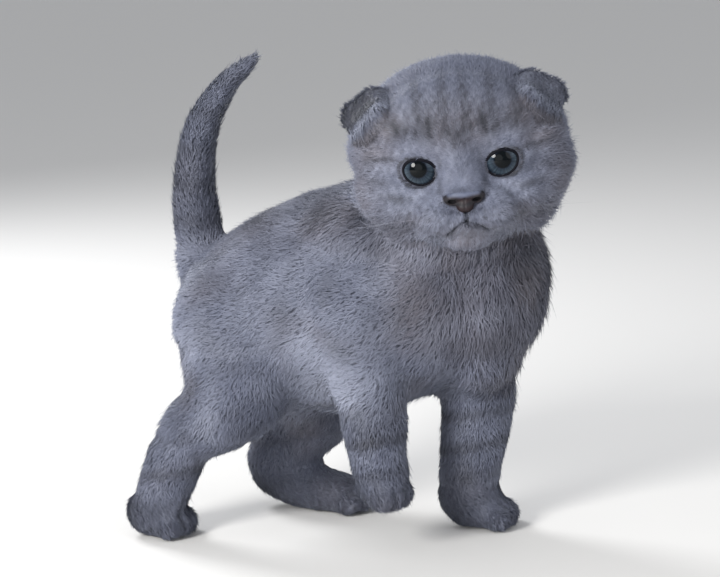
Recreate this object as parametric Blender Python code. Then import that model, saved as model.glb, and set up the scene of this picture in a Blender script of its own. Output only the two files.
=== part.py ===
# A fold-eared blue kitten, about five weeks old, as a still life-size model. It stands on three
# paws with its right forepaw raised, its head turned to its right and its tail up.
# Metres, +Z up. The torso points along -Y, so the kitten's left side is +X. The origin is
# on the floor, under the middle of the model's box.

import math

import bmesh
import bpy
from mathutils import Matrix, Vector
from mathutils.bvhtree import BVHTree

MM = 0.001
GAP = 0.3 * MM  # left between pieces that meet

# Driving dimensions, fur included
TORSO_HALF = 33.0 * MM  # half the width of the barrel
HEAD_HALF = 31.0 * MM  # half the width across the cheeks
LIMB_HALF = 9.5 * MM  # half the width of a foreleg above its paw
PAW_HALF = 8.6 * MM  # half the width of a paw
TAIL_HALF = 9.0 * MM  # half the width of the tail a third of the way up
EYE_RADIUS = 7.2 * MM
EYE_OPENING = Vector((4.7 * MM, 4.0 * MM))  # half width and half height between the lids
EYE_PLACE = (0.370, 0.525, -0.005)  # side, forward and up, as on_head takes them
EYE_OUTWARD = math.radians(3.0)
EAR_WALL = 2.4 * MM
CENTRING = Vector((-0.9, 7.4, 0.0)) * MM  # brings the middle of the model's box over the origin

# The trunk and the head are carried this far over the three standing paws, for balance
SWAY = Vector((4.4, 2.3, -0.7)) * MM
SWAY_HEIGHT = 55.0 * MM  # the legs lean over up to here

# How the head is carried
HEAD_CENTRE = Vector((-16.0, -49.6, 121.3)) * MM + SWAY
HEAD_TURN = math.radians(-64.0)  # to the kitten's right
HEAD_PITCH = math.radians(-5.0)
HEAD_ROLL = math.radians(5.0)  # left side up

# Fineness of the surface
VOXEL = 1.15 * MM
EAR_VOXEL = 0.6 * MM
RIM_VOXEL = 0.45 * MM
FINE_VOXEL = 0.35 * MM  # of the nose and the line of the mouth
SMOOTHING = 6
EAR_SMOOTHING = 5
NOSE_SMOOTHING = 3
BODY_TRIANGLES = 6400
HEAD_TRIANGLES = 10500  # of a copy of the whole body, of which the head keeps about a quarter
MOUTH_TRIANGLES = 460
RIM_TRIANGLES = 320
NOSE_TRIANGLES = 340
EAR_TRIANGLES = 560
EYE_RINGS = 10
BALL_LEVEL = 3
FINE_BALL_LEVEL = 2
STEP_SHARE = 0.25  # distance between the balls of a limb, as a share of their radius

# Each ear from its inner to its outer end: root, back, crest of the fold and tip of the flap,
# as on_head takes them for the left side
EAR_COLUMNS = (
    ((0.52, 0.08, 0.64), (0.61, 0.11, 0.75), (0.62, 0.29, 0.68), (0.56, 0.40, 0.60)),
    ((0.62, 0.00, 0.57), (0.76, 0.05, 0.71), (0.71, 0.39, 0.61), (0.63, 0.50, 0.50)),
    ((0.72, -0.06, 0.46), (0.90, -0.01, 0.62), (0.82, 0.41, 0.52), (0.74, 0.51, 0.38)),
    ((0.80, -0.12, 0.33), (1.03, -0.05, 0.53), (0.92, 0.32, 0.41), (0.86, 0.43, 0.29)),
    ((0.84, -0.18, 0.20), (1.05, -0.04, 0.36), (1.01, 0.15, 0.32), (0.98, 0.26, 0.25)),
)
EAR_ROWS = 11


def clear_scene():
    for thing in list(bpy.data.objects):
        bpy.data.objects.remove(thing)


def at(x, y, z):
    return Vector((x, y, z)) * MM


def carried(x, y, z):
    # A place that moves with the trunk, and with less of it nearer the floor
    place = at(x, y, z)
    return place + SWAY * max(0.0, min(1.0, place.z / SWAY_HEIGHT))


def head_frame():
    turn = Matrix.Rotation(HEAD_TURN, 4, "Z")
    pitch = Matrix.Rotation(-HEAD_PITCH, 4, "X")
    roll = Matrix.Rotation(-HEAD_ROLL, 4, "Y")
    face_forward = Matrix.Rotation(math.pi, 4, "Z")
    return Matrix.Translation(HEAD_CENTRE) @ turn @ pitch @ roll @ face_forward


HEAD = head_frame()


def on_head(side, forward, up):
    # A place given from the middle of the head in shares of HEAD_HALF; side is +1 at the left cheek
    return HEAD @ (Vector((-side, forward, up)) * HEAD_HALF)


# Forms: each is a list of balls, (centre, radii, frame that turns the radii)


def ball(centre, radii, frame=None):
    if not hasattr(radii, "__len__"):
        radii = (radii, radii, radii)
    return centre, Vector(radii), frame or Matrix.Identity(3)


def head_ball(side, forward, up, radii):
    return ball(on_head(side, forward, up), [r * HEAD_HALF for r in radii], HEAD.to_3x3())


def on_curve(places, t):
    # A place between the second and the third of four, on a smooth line through them all
    weights = (
        (-t + 2 * t**2 - t**3) / 2,
        (2 - 5 * t**2 + 3 * t**3) / 2,
        (t + 4 * t**2 - 3 * t**3) / 2,
        (-(t**2) + t**3) / 2,
    )
    return sum((w * Vector(p) for w, p in zip(weights, places)), Vector())


def with_ends(line):
    # The line with its first and last place given twice, and its places by fours
    ends = [line[0]] + list(line) + [line[-1]]
    return zip(ends, ends[1:], ends[2:], ends[3:])


def along(stations):
    # Balls set close together on a smooth line through the stations
    balls = []
    for four in with_ends(stations):
        start, end = four[1], four[2]
        span = (end[0] - start[0]).length
        step = STEP_SHARE * min(max(start[1]), max(end[1]))
        count = max(1, math.ceil(span / step))
        for index in range(count):
            t = index / count
            centre = on_curve([station[0] for station in four], t)
            radii = start[1].lerp(end[1], t)
            balls.append(ball(centre, radii, start[2]))
    return balls + [stations[-1]]


def torso_forms():
    wide = TORSO_HALF
    spine = [
        ball(carried(0, 44.5, 65), (0.54 * wide, 0.38 * wide, 0.54 * wide)),
        ball(carried(0, 35, 67), (0.81 * wide, 0.56 * wide, 0.79 * wide)),
        ball(carried(0, 20, 70), (0.94 * wide, 0.70 * wide, 0.96 * wide)),
        ball(carried(0, 2, 73), (1.00 * wide, 0.80 * wide, 1.09 * wide)),
        ball(carried(0, -18, 77), (0.97 * wide, 0.80 * wide, 1.12 * wide)),
        ball(carried(0, -34, 79.5), (0.90 * wide, 0.68 * wide, 0.96 * wide)),
    ]
    chest = ball(carried(5, -49, 80), (0.74 * wide, 0.54 * wide, 0.82 * wide))
    breastbone = ball(carried(4, -46, 62), (0.50 * wide, 0.44 * wide, 0.50 * wide))
    return along(spine) + [chest, breastbone]


def neck_forms():
    wide = TORSO_HALF
    return along([
        ball(carried(1, -30, 88), (0.86 * wide, 0.80 * wide, 0.74 * wide)),
        ball(carried(-4, -39, 103), (0.82 * wide, 0.80 * wide, 0.70 * wide)),
        ball(carried(-10, -45, 114), (0.78 * wide, 0.78 * wide, 0.66 * wide)),
    ])


def head_forms():
    forms = [
        head_ball(0, -0.10, 0.12, (1.00, 0.90, 0.80)),  # skull
        head_ball(0, 0.32, 0.34, (0.72, 0.50, 0.49)),  # forehead
        head_ball(0, 0.60, -0.63, (0.28, 0.27, 0.23)),  # chin
        head_ball(0, 0.22, -0.45, (0.60, 0.62, 0.42)),  # throat
        head_ball(0, 0.63, 0.10, (0.22, 0.24, 0.30)),  # bridge of the nose
        head_ball(0, 0.74, -0.06, (0.20, 0.22, 0.22)),  # slope of the nose
        head_ball(0, 0.79, -0.19, (0.22, 0.23, 0.21)),  # tip of the nose
        head_ball(0, 0.76, -0.44, (0.26, 0.26, 0.22)),  # upper lip
        head_ball(0.60, 0.02, -0.14, (0.50, 0.50, 0.46)),  # fluff of the left cheek
    ]
    for side in (-1, 1):
        forms += [
            head_ball(0.52 * side, 0.06, -0.24, (0.52, 0.60, 0.48)),  # cheek
            head_ball(0.64 * side, 0.00, 0.12, (0.42, 0.56, 0.46)),  # temple
            head_ball(0.38 * side, 0.44, 0.00, (0.36, 0.32, 0.32)),  # round the eye
            head_ball(0.44 * side, 0.42, -0.30, (0.36, 0.34, 0.28)),  # under the eye
            head_ball(0.50 * side, 0.02, -0.52, (0.42, 0.46, 0.34)),  # ruff of the cheek
            head_ball(0.20 * side, 0.74, -0.40, (0.28, 0.27, 0.23)),  # whisker pad
            head_ball(0.42 * side, 0.38, 0.32, (0.36, 0.34, 0.26)),  # brow
        ]
    return forms


def paw_forms(heel, toes, spread):
    # A pad from heel to toes, and four toes fanned out in front of it
    ahead = toes - heel
    ahead.z = 0.0
    ahead.normalize()
    across = Vector((-ahead.y, ahead.x, 0.0))
    pad = ball(heel.lerp(toes, 0.55), PAW_HALF * 0.92)
    forms = along([ball(heel, PAW_HALF), pad])
    for place in (-1.0, -0.36, 0.36, 1.0):
        reach = 0.42 - 0.30 * abs(place) ** 1.5
        middle = toes + across * place * spread + ahead * PAW_HALF * reach
        middle.z = toes.z - 0.10 * PAW_HALF
        forms.append(ball(middle, (0.46 * PAW_HALF, 0.52 * PAW_HALF, 0.50 * PAW_HALF)))
    return forms


def leg_forms(stations):
    return along([ball(carried(*place), share * LIMB_HALF) for place, share in stations])


def right_foreleg_forms():
    leg = leg_forms([
        ((-18, -18, 74), 1.85),
        ((-20, -20, 52), 1.30),
        ((-21, -21.8, 32), 1.00),
        ((-22, -23.5, 24), 0.96),
    ])
    return leg + paw_forms(carried(-22, -23.2, 22), carried(-22, -25.4, 19), 0.68 * PAW_HALF)


def left_foreleg_forms():
    leg = leg_forms([
        ((15, -37, 66), 1.80),
        ((16.5, -38, 40), 1.27),
        ((17.2, -35, 22), 1.10),
        ((18.3, -33, 10), 1.04),
    ])
    return leg + paw_forms(at(19, -33, 7.6), at(21.5, -41, 4.6), 0.96 * PAW_HALF)


def right_hind_forms():
    leg = leg_forms([
        ((-14, 27, 66), 2.40),
        ((-19, 24, 54), 2.10),
        ((-26, 26, 44), 1.55),
        ((-27, 41, 32.5), 1.08),
        ((-26.5, 51.5, 13), 0.92),
    ])
    return leg + paw_forms(at(-24.5, 56.5, 7.6), at(-23.5, 49.5, 4.6), 0.82 * PAW_HALF)


def left_hind_forms():
    leg = leg_forms([
        ((14, 26, 60), 2.40),
        ((21, 22, 44), 2.00),
        ((24, 24, 33), 1.55),
        ((24, 39.5, 14), 0.95),
        ((24, 28, 7), 0.86),
    ])
    return leg + paw_forms(at(24, 22, 6.6), at(24, 11, 4.6), 0.76 * PAW_HALF)


def tail_forms():
    stations = [
        ((0, 44, 72), 1.20),
        ((0, 48.8, 85.3), 1.06),
        ((1, 51.2, 97.8), 0.92),
        ((1, 51.4, 109), 0.84),
        ((1, 48.3, 124.8), 0.70),
        ((1, 39.3, 138.5), 0.50),
        ((1, 28, 147.4), 0.26),
    ]
    return along([ball(carried(*place), share * TAIL_HALF) for place, share in stations])


# Solids


def new_object(name, mesh):
    thing = bpy.data.objects.new(name, mesh)
    bpy.context.scene.collection.objects.link(thing)
    return thing


def balls_mesh(forms, level=BALL_LEVEL):
    work = bmesh.new()
    for centre, radii, frame in forms:
        size = Matrix.Diagonal(radii).to_4x4()
        place = Matrix.Translation(centre) @ frame.to_4x4() @ size
        bmesh.ops.create_icosphere(work, subdivisions=level, radius=1.0, matrix=place)
    mesh = bpy.data.meshes.new("balls")
    work.to_mesh(mesh)
    work.free()
    return mesh


def finished(thing, name):
    # The object as its modifiers leave it, as a plain mesh under a new name
    graph = bpy.context.evaluated_depsgraph_get()
    mesh = bpy.data.meshes.new_from_object(thing.evaluated_get(graph))
    return new_object(name, mesh)


def removed(*things):
    for thing in things:
        bpy.data.objects.remove(thing)


def blended(name, forms, voxel, smoothing, level=BALL_LEVEL):
    rough = new_object("rough", balls_mesh(forms, level))
    remesh = rough.modifiers.new("one surface", "REMESH")
    remesh.mode = "VOXEL"
    remesh.voxel_size = voxel
    smooth = rough.modifiers.new("soft", "SMOOTH")
    smooth.factor = 0.5
    smooth.iterations = smoothing
    result = finished(rough, name)
    removed(rough)
    return result


def thinned(thing, name, triangles):
    count = sum(len(face.vertices) - 2 for face in thing.data.polygons)
    thin = thing.modifiers.new("fewer faces", "DECIMATE")
    thin.ratio = min(1.0, triangles / count)
    result = finished(thing, name)
    thing.modifiers.remove(thin)
    return result


def grown(thing, name, distance):
    swell = thing.modifiers.new("swell", "DISPLACE")
    swell.strength = distance
    swell.mid_level = 0.0
    result = finished(thing, name)
    thing.modifiers.remove(swell)
    return result


def block(low, high, frame=None):
    # A box between two corners given in the frame's own axes
    work = bmesh.new()
    bmesh.ops.create_cube(work, size=1.0)
    middle = (low + high) / 2
    size = Matrix.Diagonal(high - low).to_4x4()
    place = (frame or Matrix.Identity(4)) @ Matrix.Translation(middle) @ size
    bmesh.ops.transform(work, matrix=place, verts=work.verts)
    mesh = bpy.data.meshes.new("block")
    work.to_mesh(mesh)
    work.free()
    return new_object("block", mesh)


def largest_body(mesh):
    work = bmesh.new()
    work.from_mesh(mesh)
    work.verts.ensure_lookup_table()
    seen = set()
    bodies = []
    for vert in work.verts:
        if vert in seen:
            continue
        body = {vert}
        edge_of_body = [vert]
        while edge_of_body:
            for edge in edge_of_body.pop().link_edges:
                for other in edge.verts:
                    if other not in body:
                        body.add(other)
                        edge_of_body.append(other)
        seen |= body
        bodies.append(body)
    biggest = max(bodies, key=len)
    spare = [vert for vert in work.verts if vert not in biggest]
    bmesh.ops.delete(work, geom=spare, context="VERTS")
    work.to_mesh(mesh)
    work.free()


def cut(thing, name, cutters, operation, solver="EXACT"):
    for index, cutter in enumerate(cutters):
        step = thing.modifiers.new(f"cut {index}", "BOOLEAN")
        step.operation = operation
        step.object = cutter
        step.solver = solver
    result = finished(thing, name)
    thing.modifiers.clear()
    largest_body(result.data)
    return result


def slant_frame(point, normal):
    # Z along the normal, Y as near as can be to the world's Y
    z = normal.normalized()
    x = Vector((0, 1, 0)).cross(z).normalized()
    y = z.cross(x)
    turn = Matrix((x, y, z)).transposed()
    return Matrix.Translation(point) @ turn.to_4x4()


# Where the body is parted: each region is a box (low corner, high corner, frame) in millimetres
NECK_NORMAL = Vector((-0.337, -0.165, 0.927))
HEAD_CUT = slant_frame(carried(-16, -50, 101), NECK_NORMAL)
NECK_CUT = slant_frame(carried(-13, -48, 92), NECK_NORMAL)
TAIL_CUT = slant_frame(carried(0, 48, 88), Vector((0, -0.2, 0.98)))
REGIONS = {
    "head": ((-60, -60, 0), (60, 50, 90), HEAD_CUT),
    "neck": ((-60, -60, 0), (60, 50, 90), NECK_CUT),
    "tail": ((-12, -9, 0), (12, 40, 90), TAIL_CUT),
    "foreleg_right": ((-60, -60, -20), (-6, 2, 45), None),
    "foreleg_left": ((3, -70, -20), (60, -16, 44), None),
    "thigh_right": ((-70, 2, -20), (-9, 90, 61), None),
    "thigh_left": ((9, 2, -20), (70, 90, 57), None),
    "paw_front_right": ((-60, -60, -20), (-6, 2, 24), None),
    "paw_front_left": ((3, -70, -20), (60, -16, 15), None),
    "shank_right": ((-70, 2, -20), (-9, 90, 33), None),
    "shank_left": ((9, 2, -20), (70, 90, 26), None),
    "paw_hind_right": ((-70, 30, -20), (-5, 90, 14), None),
    "paw_hind_left": ((9, -10, -20), (70, 90, 12.5), None),
}


def region(name, swell):
    low, high, frame = REGIONS[name]
    edge = Vector((swell, swell, swell))
    return block(Vector(low) * MM - edge, Vector(high) * MM + edge, frame)


def part_off(source, name, inside, outside=()):
    # What of the source lies in one region and out of others, less half a gap at each face
    keep = region(inside, -GAP / 2)
    kept = cut(source, name, [keep], "INTERSECT")
    removed(keep)
    if not outside:
        return kept
    away = [region(other, GAP / 2) for other in outside]
    result = cut(kept, name + " cut", away, "DIFFERENCE")
    removed(kept, *away)
    result.name = name
    return result


def floor_block():
    # Everything below the floor, well past the paws on all sides
    reach = 200
    return block(at(-reach, -reach, -60), at(reach, reach, 0))


# The face


def face_point(surface, side, up, lift=0.0):
    # The place on the face straight ahead of a point of the head's middle plane
    start = on_head(side, 2.0, up)
    ahead = (on_head(0, 1, 0) - on_head(0, 0, 0)).normalized()
    hit, normal, _, _ = surface.ray_cast(start, -ahead)
    return hit + normal * lift


def surface_of(thing):
    graph = bpy.context.evaluated_depsgraph_get()
    return BVHTree.FromObject(thing, graph)


def mouth_groove(surface):
    # The cleft under the nose, and the line of the lips drooping to both corners
    width = 0.75 * MM
    cleft = [(0, -0.36), (0, -0.42), (0, -0.47)]
    lines = [cleft]
    for side in (-1, 1):
        lines.append([
            (0, -0.455),
            (0.05 * side, -0.475),
            (0.10 * side, -0.510),
            (0.145 * side, -0.55),
            (0.18 * side, -0.59),
        ])
    balls = []
    for line in lines:
        balls += along([ball(face_point(surface, side, up), width) for side, up in line])
    groove = blended("groove", balls, FINE_VOXEL, 1, FINE_BALL_LEVEL)
    thin = thinned(groove, "thin groove", MOUTH_TRIANGLES)
    removed(groove)
    return thin


def eye_frame(side):
    aside, forward, up = EYE_PLACE
    middle = on_head(aside * side, forward, up)
    outward = Matrix.Rotation(EYE_OUTWARD * side, 3, "Z")
    return Matrix.Translation(middle) @ (HEAD.to_3x3() @ outward).to_4x4()


def eye_ball(name, side, radius):
    work = bmesh.new()
    bmesh.ops.create_uvsphere(
        work, u_segments=2 * EYE_RINGS, v_segments=EYE_RINGS, radius=radius,
        matrix=eye_frame(side),
    )
    mesh = bpy.data.meshes.new(name)
    work.to_mesh(mesh)
    work.free()
    mesh.shade_smooth()
    return new_object(name, mesh)


def lid_rim(side):
    # A soft roll round the opening, just proud of the ball
    frame = eye_frame(side)
    roll = 0.95 * MM
    reach = EYE_RADIUS + 0.55 * MM
    balls = []
    count = 28
    for index in range(count):
        angle = 2 * math.pi * index / count
        across = (EYE_OPENING.x + 0.75 * roll) * math.cos(angle)
        up = (EYE_OPENING.y + 0.75 * roll) * math.sin(angle)
        deep = math.sqrt(reach**2 - across**2 - up**2)
        balls.append(ball(frame @ Vector((across, deep, up)), roll))
    return balls


def eye_opening(side):
    # A round prism that opens the lids in front of the ball
    work = bmesh.new()
    bmesh.ops.create_cone(
        work, cap_ends=True, segments=28, radius1=1.0, radius2=1.0, depth=1.0,
        matrix=Matrix.Rotation(math.pi / 2, 4, "X"),
    )
    length = 12 * MM
    size = Matrix.Diagonal((EYE_OPENING.x, length, EYE_OPENING.y, 1.0))
    ahead = Matrix.Translation((0, EYE_RADIUS - 3.4 * MM + length / 2, 0))
    bmesh.ops.transform(work, matrix=eye_frame(side) @ ahead @ size, verts=work.verts)
    bmesh.ops.recalc_face_normals(work, faces=work.faces)
    mesh = bpy.data.meshes.new("opening")
    work.to_mesh(mesh)
    work.free()
    return new_object("opening", mesh)


def nose_pad():
    # The bare leather of the nose: broad above, narrow where it meets the cleft
    forms = [
        head_ball(0, 0.955, -0.320, (0.080, 0.075, 0.070)),
        head_ball(0, 0.955, -0.190, (0.155, 0.085, 0.085)),
    ]
    for side in (-1, 1):
        forms.append(head_ball(0.110 * side, 0.935, -0.235, (0.085, 0.085, 0.078)))
    pad = blended("nose pad", forms, FINE_VOXEL, NOSE_SMOOTHING)
    thin = thinned(pad, "nose thin", NOSE_TRIANGLES)
    removed(pad)
    nostrils = []
    for side in (-1, 1):
        hole = head_ball(0.112 * side, 1.005, -0.272, (0.046, 0.075, 0.026))
        nostrils.append(new_object("nostril", balls_mesh([hole], FINE_BALL_LEVEL)))
    leather = cut(thin, "nose", nostrils, "DIFFERENCE")
    cutter = grown(thin, "nose room", GAP)
    removed(thin, *nostrils)
    return leather, cutter


def ear_lines(side):
    # One line from root to tip for each column of the ear
    lines = []
    for column in EAR_COLUMNS:
        line = []
        pieces = list(with_ends(column))
        for row in range(EAR_ROWS):
            place = len(pieces) * row / (EAR_ROWS - 1)
            piece = min(int(place), len(pieces) - 1)
            aside, forward, up = on_curve(pieces[piece], place - piece)
            line.append(on_head(aside * side, forward, up))
        lines.append(line)
    return lines


def ear(name, side, skull_room):
    # A thin curved wall that stands up from the skull, folds over at the crest and comes down
    # in front, so that a cup stays open behind and beneath the flap
    work = bmesh.new()
    grid = [[work.verts.new(place) for place in line] for line in ear_lines(side)]
    for line, following in zip(grid, grid[1:]):
        for row in range(EAR_ROWS - 1):
            work.faces.new((line[row], line[row + 1], following[row + 1], following[row]))
    mesh = bpy.data.meshes.new("ear sheet")
    work.to_mesh(mesh)
    work.free()
    sheet = new_object("ear sheet", mesh)
    wall = sheet.modifiers.new("wall", "SOLIDIFY")
    wall.thickness = EAR_WALL
    wall.offset = 0.0
    one = sheet.modifiers.new("one surface", "REMESH")
    one.mode = "VOXEL"
    one.voxel_size = EAR_VOXEL
    soft = sheet.modifiers.new("soft", "SMOOTH")
    soft.factor = 0.5
    soft.iterations = EAR_SMOOTHING
    fine = finished(sheet, "ear fine")
    thin = thinned(fine, "ear thin", EAR_TRIANGLES)
    result = cut(thin, name, [skull_room], "DIFFERENCE")
    removed(sheet, fine, thin)
    return result


def make_head(source):
    whole = part_off(source, "whole head", "head")
    surface = surface_of(whole)
    rims = []
    for side in (-1, 1):
        rim = blended("rim", lid_rim(side), RIM_VOXEL, 1, FINE_BALL_LEVEL)
        thin = thinned(rim, "thin rim", RIM_TRIANGLES)
        removed(rim)
        rims.append(thin)
    lidded = cut(whole, "lidded", rims, "UNION", "MANIFOLD")
    leather, room = nose_pad()
    away = [room, mouth_groove(surface)]
    for side in (-1, 1):
        away.append(eye_ball("socket", side, EYE_RADIUS + GAP))
        away.append(eye_opening(side))
    head = cut(lidded, "head", away, "DIFFERENCE", "MANIFOLD")
    removed(lidded, *rims, *away)
    skull_room = grown(whole, "skull room", GAP)
    ears = [ear("ear_right", -1, skull_room), ear("ear_left", 1, skull_room)]
    removed(whole, skull_room)
    return [head, leather] + ears


def make_body(source):
    floor = floor_block()
    grounded = cut(source, "grounded", [floor], "DIFFERENCE")
    limbs = ("neck", "tail", "foreleg_right", "foreleg_left", "thigh_right", "thigh_left")
    away = [region(name, GAP / 2) for name in limbs]
    torso = cut(grounded, "torso", away, "DIFFERENCE")
    pieces = [torso, part_off(grounded, "neck", "neck", ["head"])]
    pieces.append(part_off(grounded, "tail", "tail"))
    for side in ("right", "left"):
        front_paw = f"paw_front_{side}"
        hind_paw = f"paw_hind_{side}"
        pieces += [
            part_off(grounded, f"foreleg_{side}", f"foreleg_{side}", [front_paw]),
            part_off(grounded, front_paw, front_paw),
            part_off(grounded, f"thigh_{side}", f"thigh_{side}", [f"shank_{side}"]),
            part_off(grounded, f"shank_{side}", f"shank_{side}", [hind_paw]),
            part_off(grounded, hind_paw, hind_paw),
        ]
    removed(floor, grounded, *away)
    return pieces


# Materials


def material(name, colour, roughness):
    finish = bpy.data.materials.new(name)
    finish.use_nodes = True
    shader = finish.node_tree.nodes["Principled BSDF"]
    shader.inputs["Base Color"].default_value = (*colour, 1.0)
    shader.inputs["Roughness"].default_value = roughness
    shader.inputs["Metallic"].default_value = 0.0
    return finish


def fur_colours():
    return {
        "head": (0.175, 0.185, 0.245),
        "neck": (0.170, 0.175, 0.225),
        "torso": (0.195, 0.200, 0.260),
        "tail": (0.120, 0.130, 0.175),
        "ear": (0.130, 0.135, 0.170),
        "foreleg": (0.140, 0.155, 0.205),
        "thigh": (0.170, 0.180, 0.240),
        "shank": (0.150, 0.160, 0.215),
        "paw": (0.115, 0.120, 0.155),
    }


def dress(pieces):
    colours = fur_colours()
    for piece in pieces:
        kind = piece.name.split("_")[0]
        if kind == "eye":
            finish = material(piece.name + " glass", (0.10, 0.15, 0.20), 0.05)
        elif kind == "nose":
            finish = material("nose leather", (0.075, 0.060, 0.070), 0.45)
        else:
            finish = material(piece.name + " fur", colours[kind], 0.85)
        piece.data.materials.clear()
        piece.data.materials.append(finish)
        piece.data.transform(Matrix.Translation(CENTRING))


def main():
    clear_scene()
    forms = torso_forms() + neck_forms() + head_forms() + tail_forms()
    forms += right_foreleg_forms() + left_foreleg_forms()
    forms += right_hind_forms() + left_hind_forms()
    flesh = blended("flesh", forms, VOXEL, SMOOTHING)
    body_source = thinned(flesh, "body source", BODY_TRIANGLES)
    head_source = thinned(flesh, "head source", HEAD_TRIANGLES)
    pieces = make_body(body_source) + make_head(head_source)
    removed(flesh, body_source, head_source)
    pieces += [
        eye_ball("eye_right", -1, EYE_RADIUS),
        eye_ball("eye_left", 1, EYE_RADIUS),
    ]
    dress(pieces)


main()
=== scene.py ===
import math
import bmesh
import bpy
import numpy as np
from mathutils import Matrix, Vector
from mathutils.bvhtree import BVHTree
from mathutils.kdtree import KDTree


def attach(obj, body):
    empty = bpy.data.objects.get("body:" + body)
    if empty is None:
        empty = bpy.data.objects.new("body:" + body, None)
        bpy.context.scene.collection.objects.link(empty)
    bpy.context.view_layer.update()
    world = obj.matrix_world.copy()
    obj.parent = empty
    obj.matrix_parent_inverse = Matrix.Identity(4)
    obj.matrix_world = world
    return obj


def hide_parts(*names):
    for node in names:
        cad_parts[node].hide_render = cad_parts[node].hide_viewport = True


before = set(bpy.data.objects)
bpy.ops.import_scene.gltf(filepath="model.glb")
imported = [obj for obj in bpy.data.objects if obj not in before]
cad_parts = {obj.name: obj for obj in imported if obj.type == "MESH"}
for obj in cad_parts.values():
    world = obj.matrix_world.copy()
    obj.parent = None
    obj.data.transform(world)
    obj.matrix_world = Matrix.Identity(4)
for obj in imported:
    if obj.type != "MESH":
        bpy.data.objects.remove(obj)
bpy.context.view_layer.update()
mm = 0.001

# where the head sits and how it is turned, in the solids' frame
headPose = {"centre": (-12.5, -39.9, 120.6), "half": 31.0, "turn": -64.0, "pitch": -5.0, "roll": 5.0}
# the two eyes: places in shares of the head's half width, sizes in millimetres and turns in degrees
eyeShape = {
    "side": 0.370, "forward": 0.525, "up": -0.005, "outward": 3.0,
    "radius": 7.2, "opening": (4.6, 3.95), "pupil": 2.35, "iris": 4.9,
    "gazeUp": 6.0, "gazeOut": 2.0, "flatTop": 0.88, "tilt": 0.10, "cornea": 0.35,
    "setIn": 1.6, "lid": 0.55, "lidEdge": 0.35,
}


def headMatrix():
    turn = Matrix.Rotation(math.radians(headPose["turn"]), 4, "Z")
    pitch = Matrix.Rotation(-math.radians(headPose["pitch"]), 4, "X")
    roll = Matrix.Rotation(-math.radians(headPose["roll"]), 4, "Y")
    about = Matrix.Rotation(math.pi, 4, "Z")
    return Matrix.Translation(Vector(headPose["centre"]) * mm) @ turn @ pitch @ roll @ about


head = headMatrix()
headBack = head.inverted()


def onHead(side, forward, up):
    return head @ (Vector((-side, forward, up)) * headPose["half"] * mm)


def headShares(points):
    # points of an array, as side, forward and up in shares of the head's half width
    turned = points @ np.array(headBack.to_3x3()).T + np.array(headBack.translation)
    return turned * np.array((-1.0, 1.0, 1.0)) / (headPose["half"] * mm)


def smoothStep(low, high, value):
    t = np.clip((value - low) / (high - low), 0.0, 1.0)
    return t * t * (3.0 - 2.0 * t)


def eyeFrame(sign):
    # centre, right, up and gaze of one eye; sign is +1 for the cat's left
    centre = onHead(eyeShape["side"] * sign, eyeShape["forward"], eyeShape["up"])
    face = head.to_3x3() @ Matrix.Rotation(math.radians(eyeShape["outward"]) * sign, 3, "Z")
    gaze = face @ Vector((0, 1, 0))
    up = face @ Vector((0, 0, 1))
    right = gaze.cross(up) * -1.0  # towards the cat's left
    return centre, right.normalized(), up.normalized(), gaze.normalized()


def newObject(name, bm, materials):
    mesh = bpy.data.meshes.new(name)
    bm.to_mesh(mesh)
    bm.free()
    piece = bpy.data.objects.new(name, mesh)
    bpy.context.scene.collection.objects.link(piece)
    for material in materials:
        mesh.materials.append(material)
    smoothFaces(mesh)
    return piece


def vertexArray(mesh):
    points = np.empty(len(mesh.vertices) * 3)
    mesh.vertices.foreach_get("co", points)
    return points.reshape(-1, 3)


def moveVertices(mesh, points):
    mesh.vertices.foreach_set("co", points.ravel())
    mesh.update()


def smoothFaces(mesh):
    for face in mesh.polygons:
        face.use_smooth = True


def remeshed(piece, voxel):
    # the piece as one shell of even faces; voxel is in millimetres
    remesh = piece.modifiers.new("remesh", "REMESH")
    remesh.mode = "VOXEL"
    remesh.voxel_size = voxel * mm
    bpy.context.view_layer.objects.active = piece
    bpy.ops.object.modifier_apply(modifier=remesh.name)
    smoothFaces(piece.data)


def unwrap(piece, margin):
    # the piece's own map, which the coat's tufts also take their places from
    bpy.context.view_layer.objects.active = piece
    piece.select_set(True)
    bpy.ops.object.mode_set(mode="EDIT")
    bpy.ops.mesh.select_all(action="SELECT")
    bpy.ops.uv.smart_project(angle_limit=math.radians(66), island_margin=margin)
    bpy.ops.object.mode_set(mode="OBJECT")
    piece.select_set(False)
    piece.data.uv_layers[0].name = "OFBake"


def solidCopy(name):
    # one solid in its place, with its doubles merged
    bm = bmesh.new()
    bm.from_mesh(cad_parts[name].data)
    bm.transform(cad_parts[name].matrix_world)
    bmesh.ops.remove_doubles(bm, verts=bm.verts, dist=0.01 * mm)
    return bm


def normalArray(mesh):
    normals = np.empty(len(mesh.vertices) * 3, np.float32)
    mesh.vertex_normals.foreach_get("vector", normals)
    return normals.reshape(-1, 3).astype(float)


def edgeArray(mesh):
    edges = np.empty(len(mesh.edges) * 2, np.int32)
    mesh.edges.foreach_get("vertices", edges)
    return edges.reshape(-1, 2)


def relaxed(values, edges, rounds, share=0.5):
    # each vertex moves towards the mean of its neighbours
    count = np.bincount(edges.ravel(), minlength=len(values)).astype(float)
    count = np.maximum(count, 1.0)
    values = values.astype(float)
    flat = values.ndim == 1
    if flat:
        values = values[:, None]
    for _ in range(rounds):
        total = np.empty_like(values)
        for axis in range(values.shape[1]):
            total[:, axis] = np.bincount(edges[:, 0], values[edges[:, 1], axis], len(values))
            total[:, axis] += np.bincount(edges[:, 1], values[edges[:, 0], axis], len(values))
        values = values + share * (total / count[:, None] - values)
    return values[:, 0] if flat else values


def unit(vectors):
    return vectors / np.maximum(np.linalg.norm(vectors, axis=1, keepdims=True), 1e-9)


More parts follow.
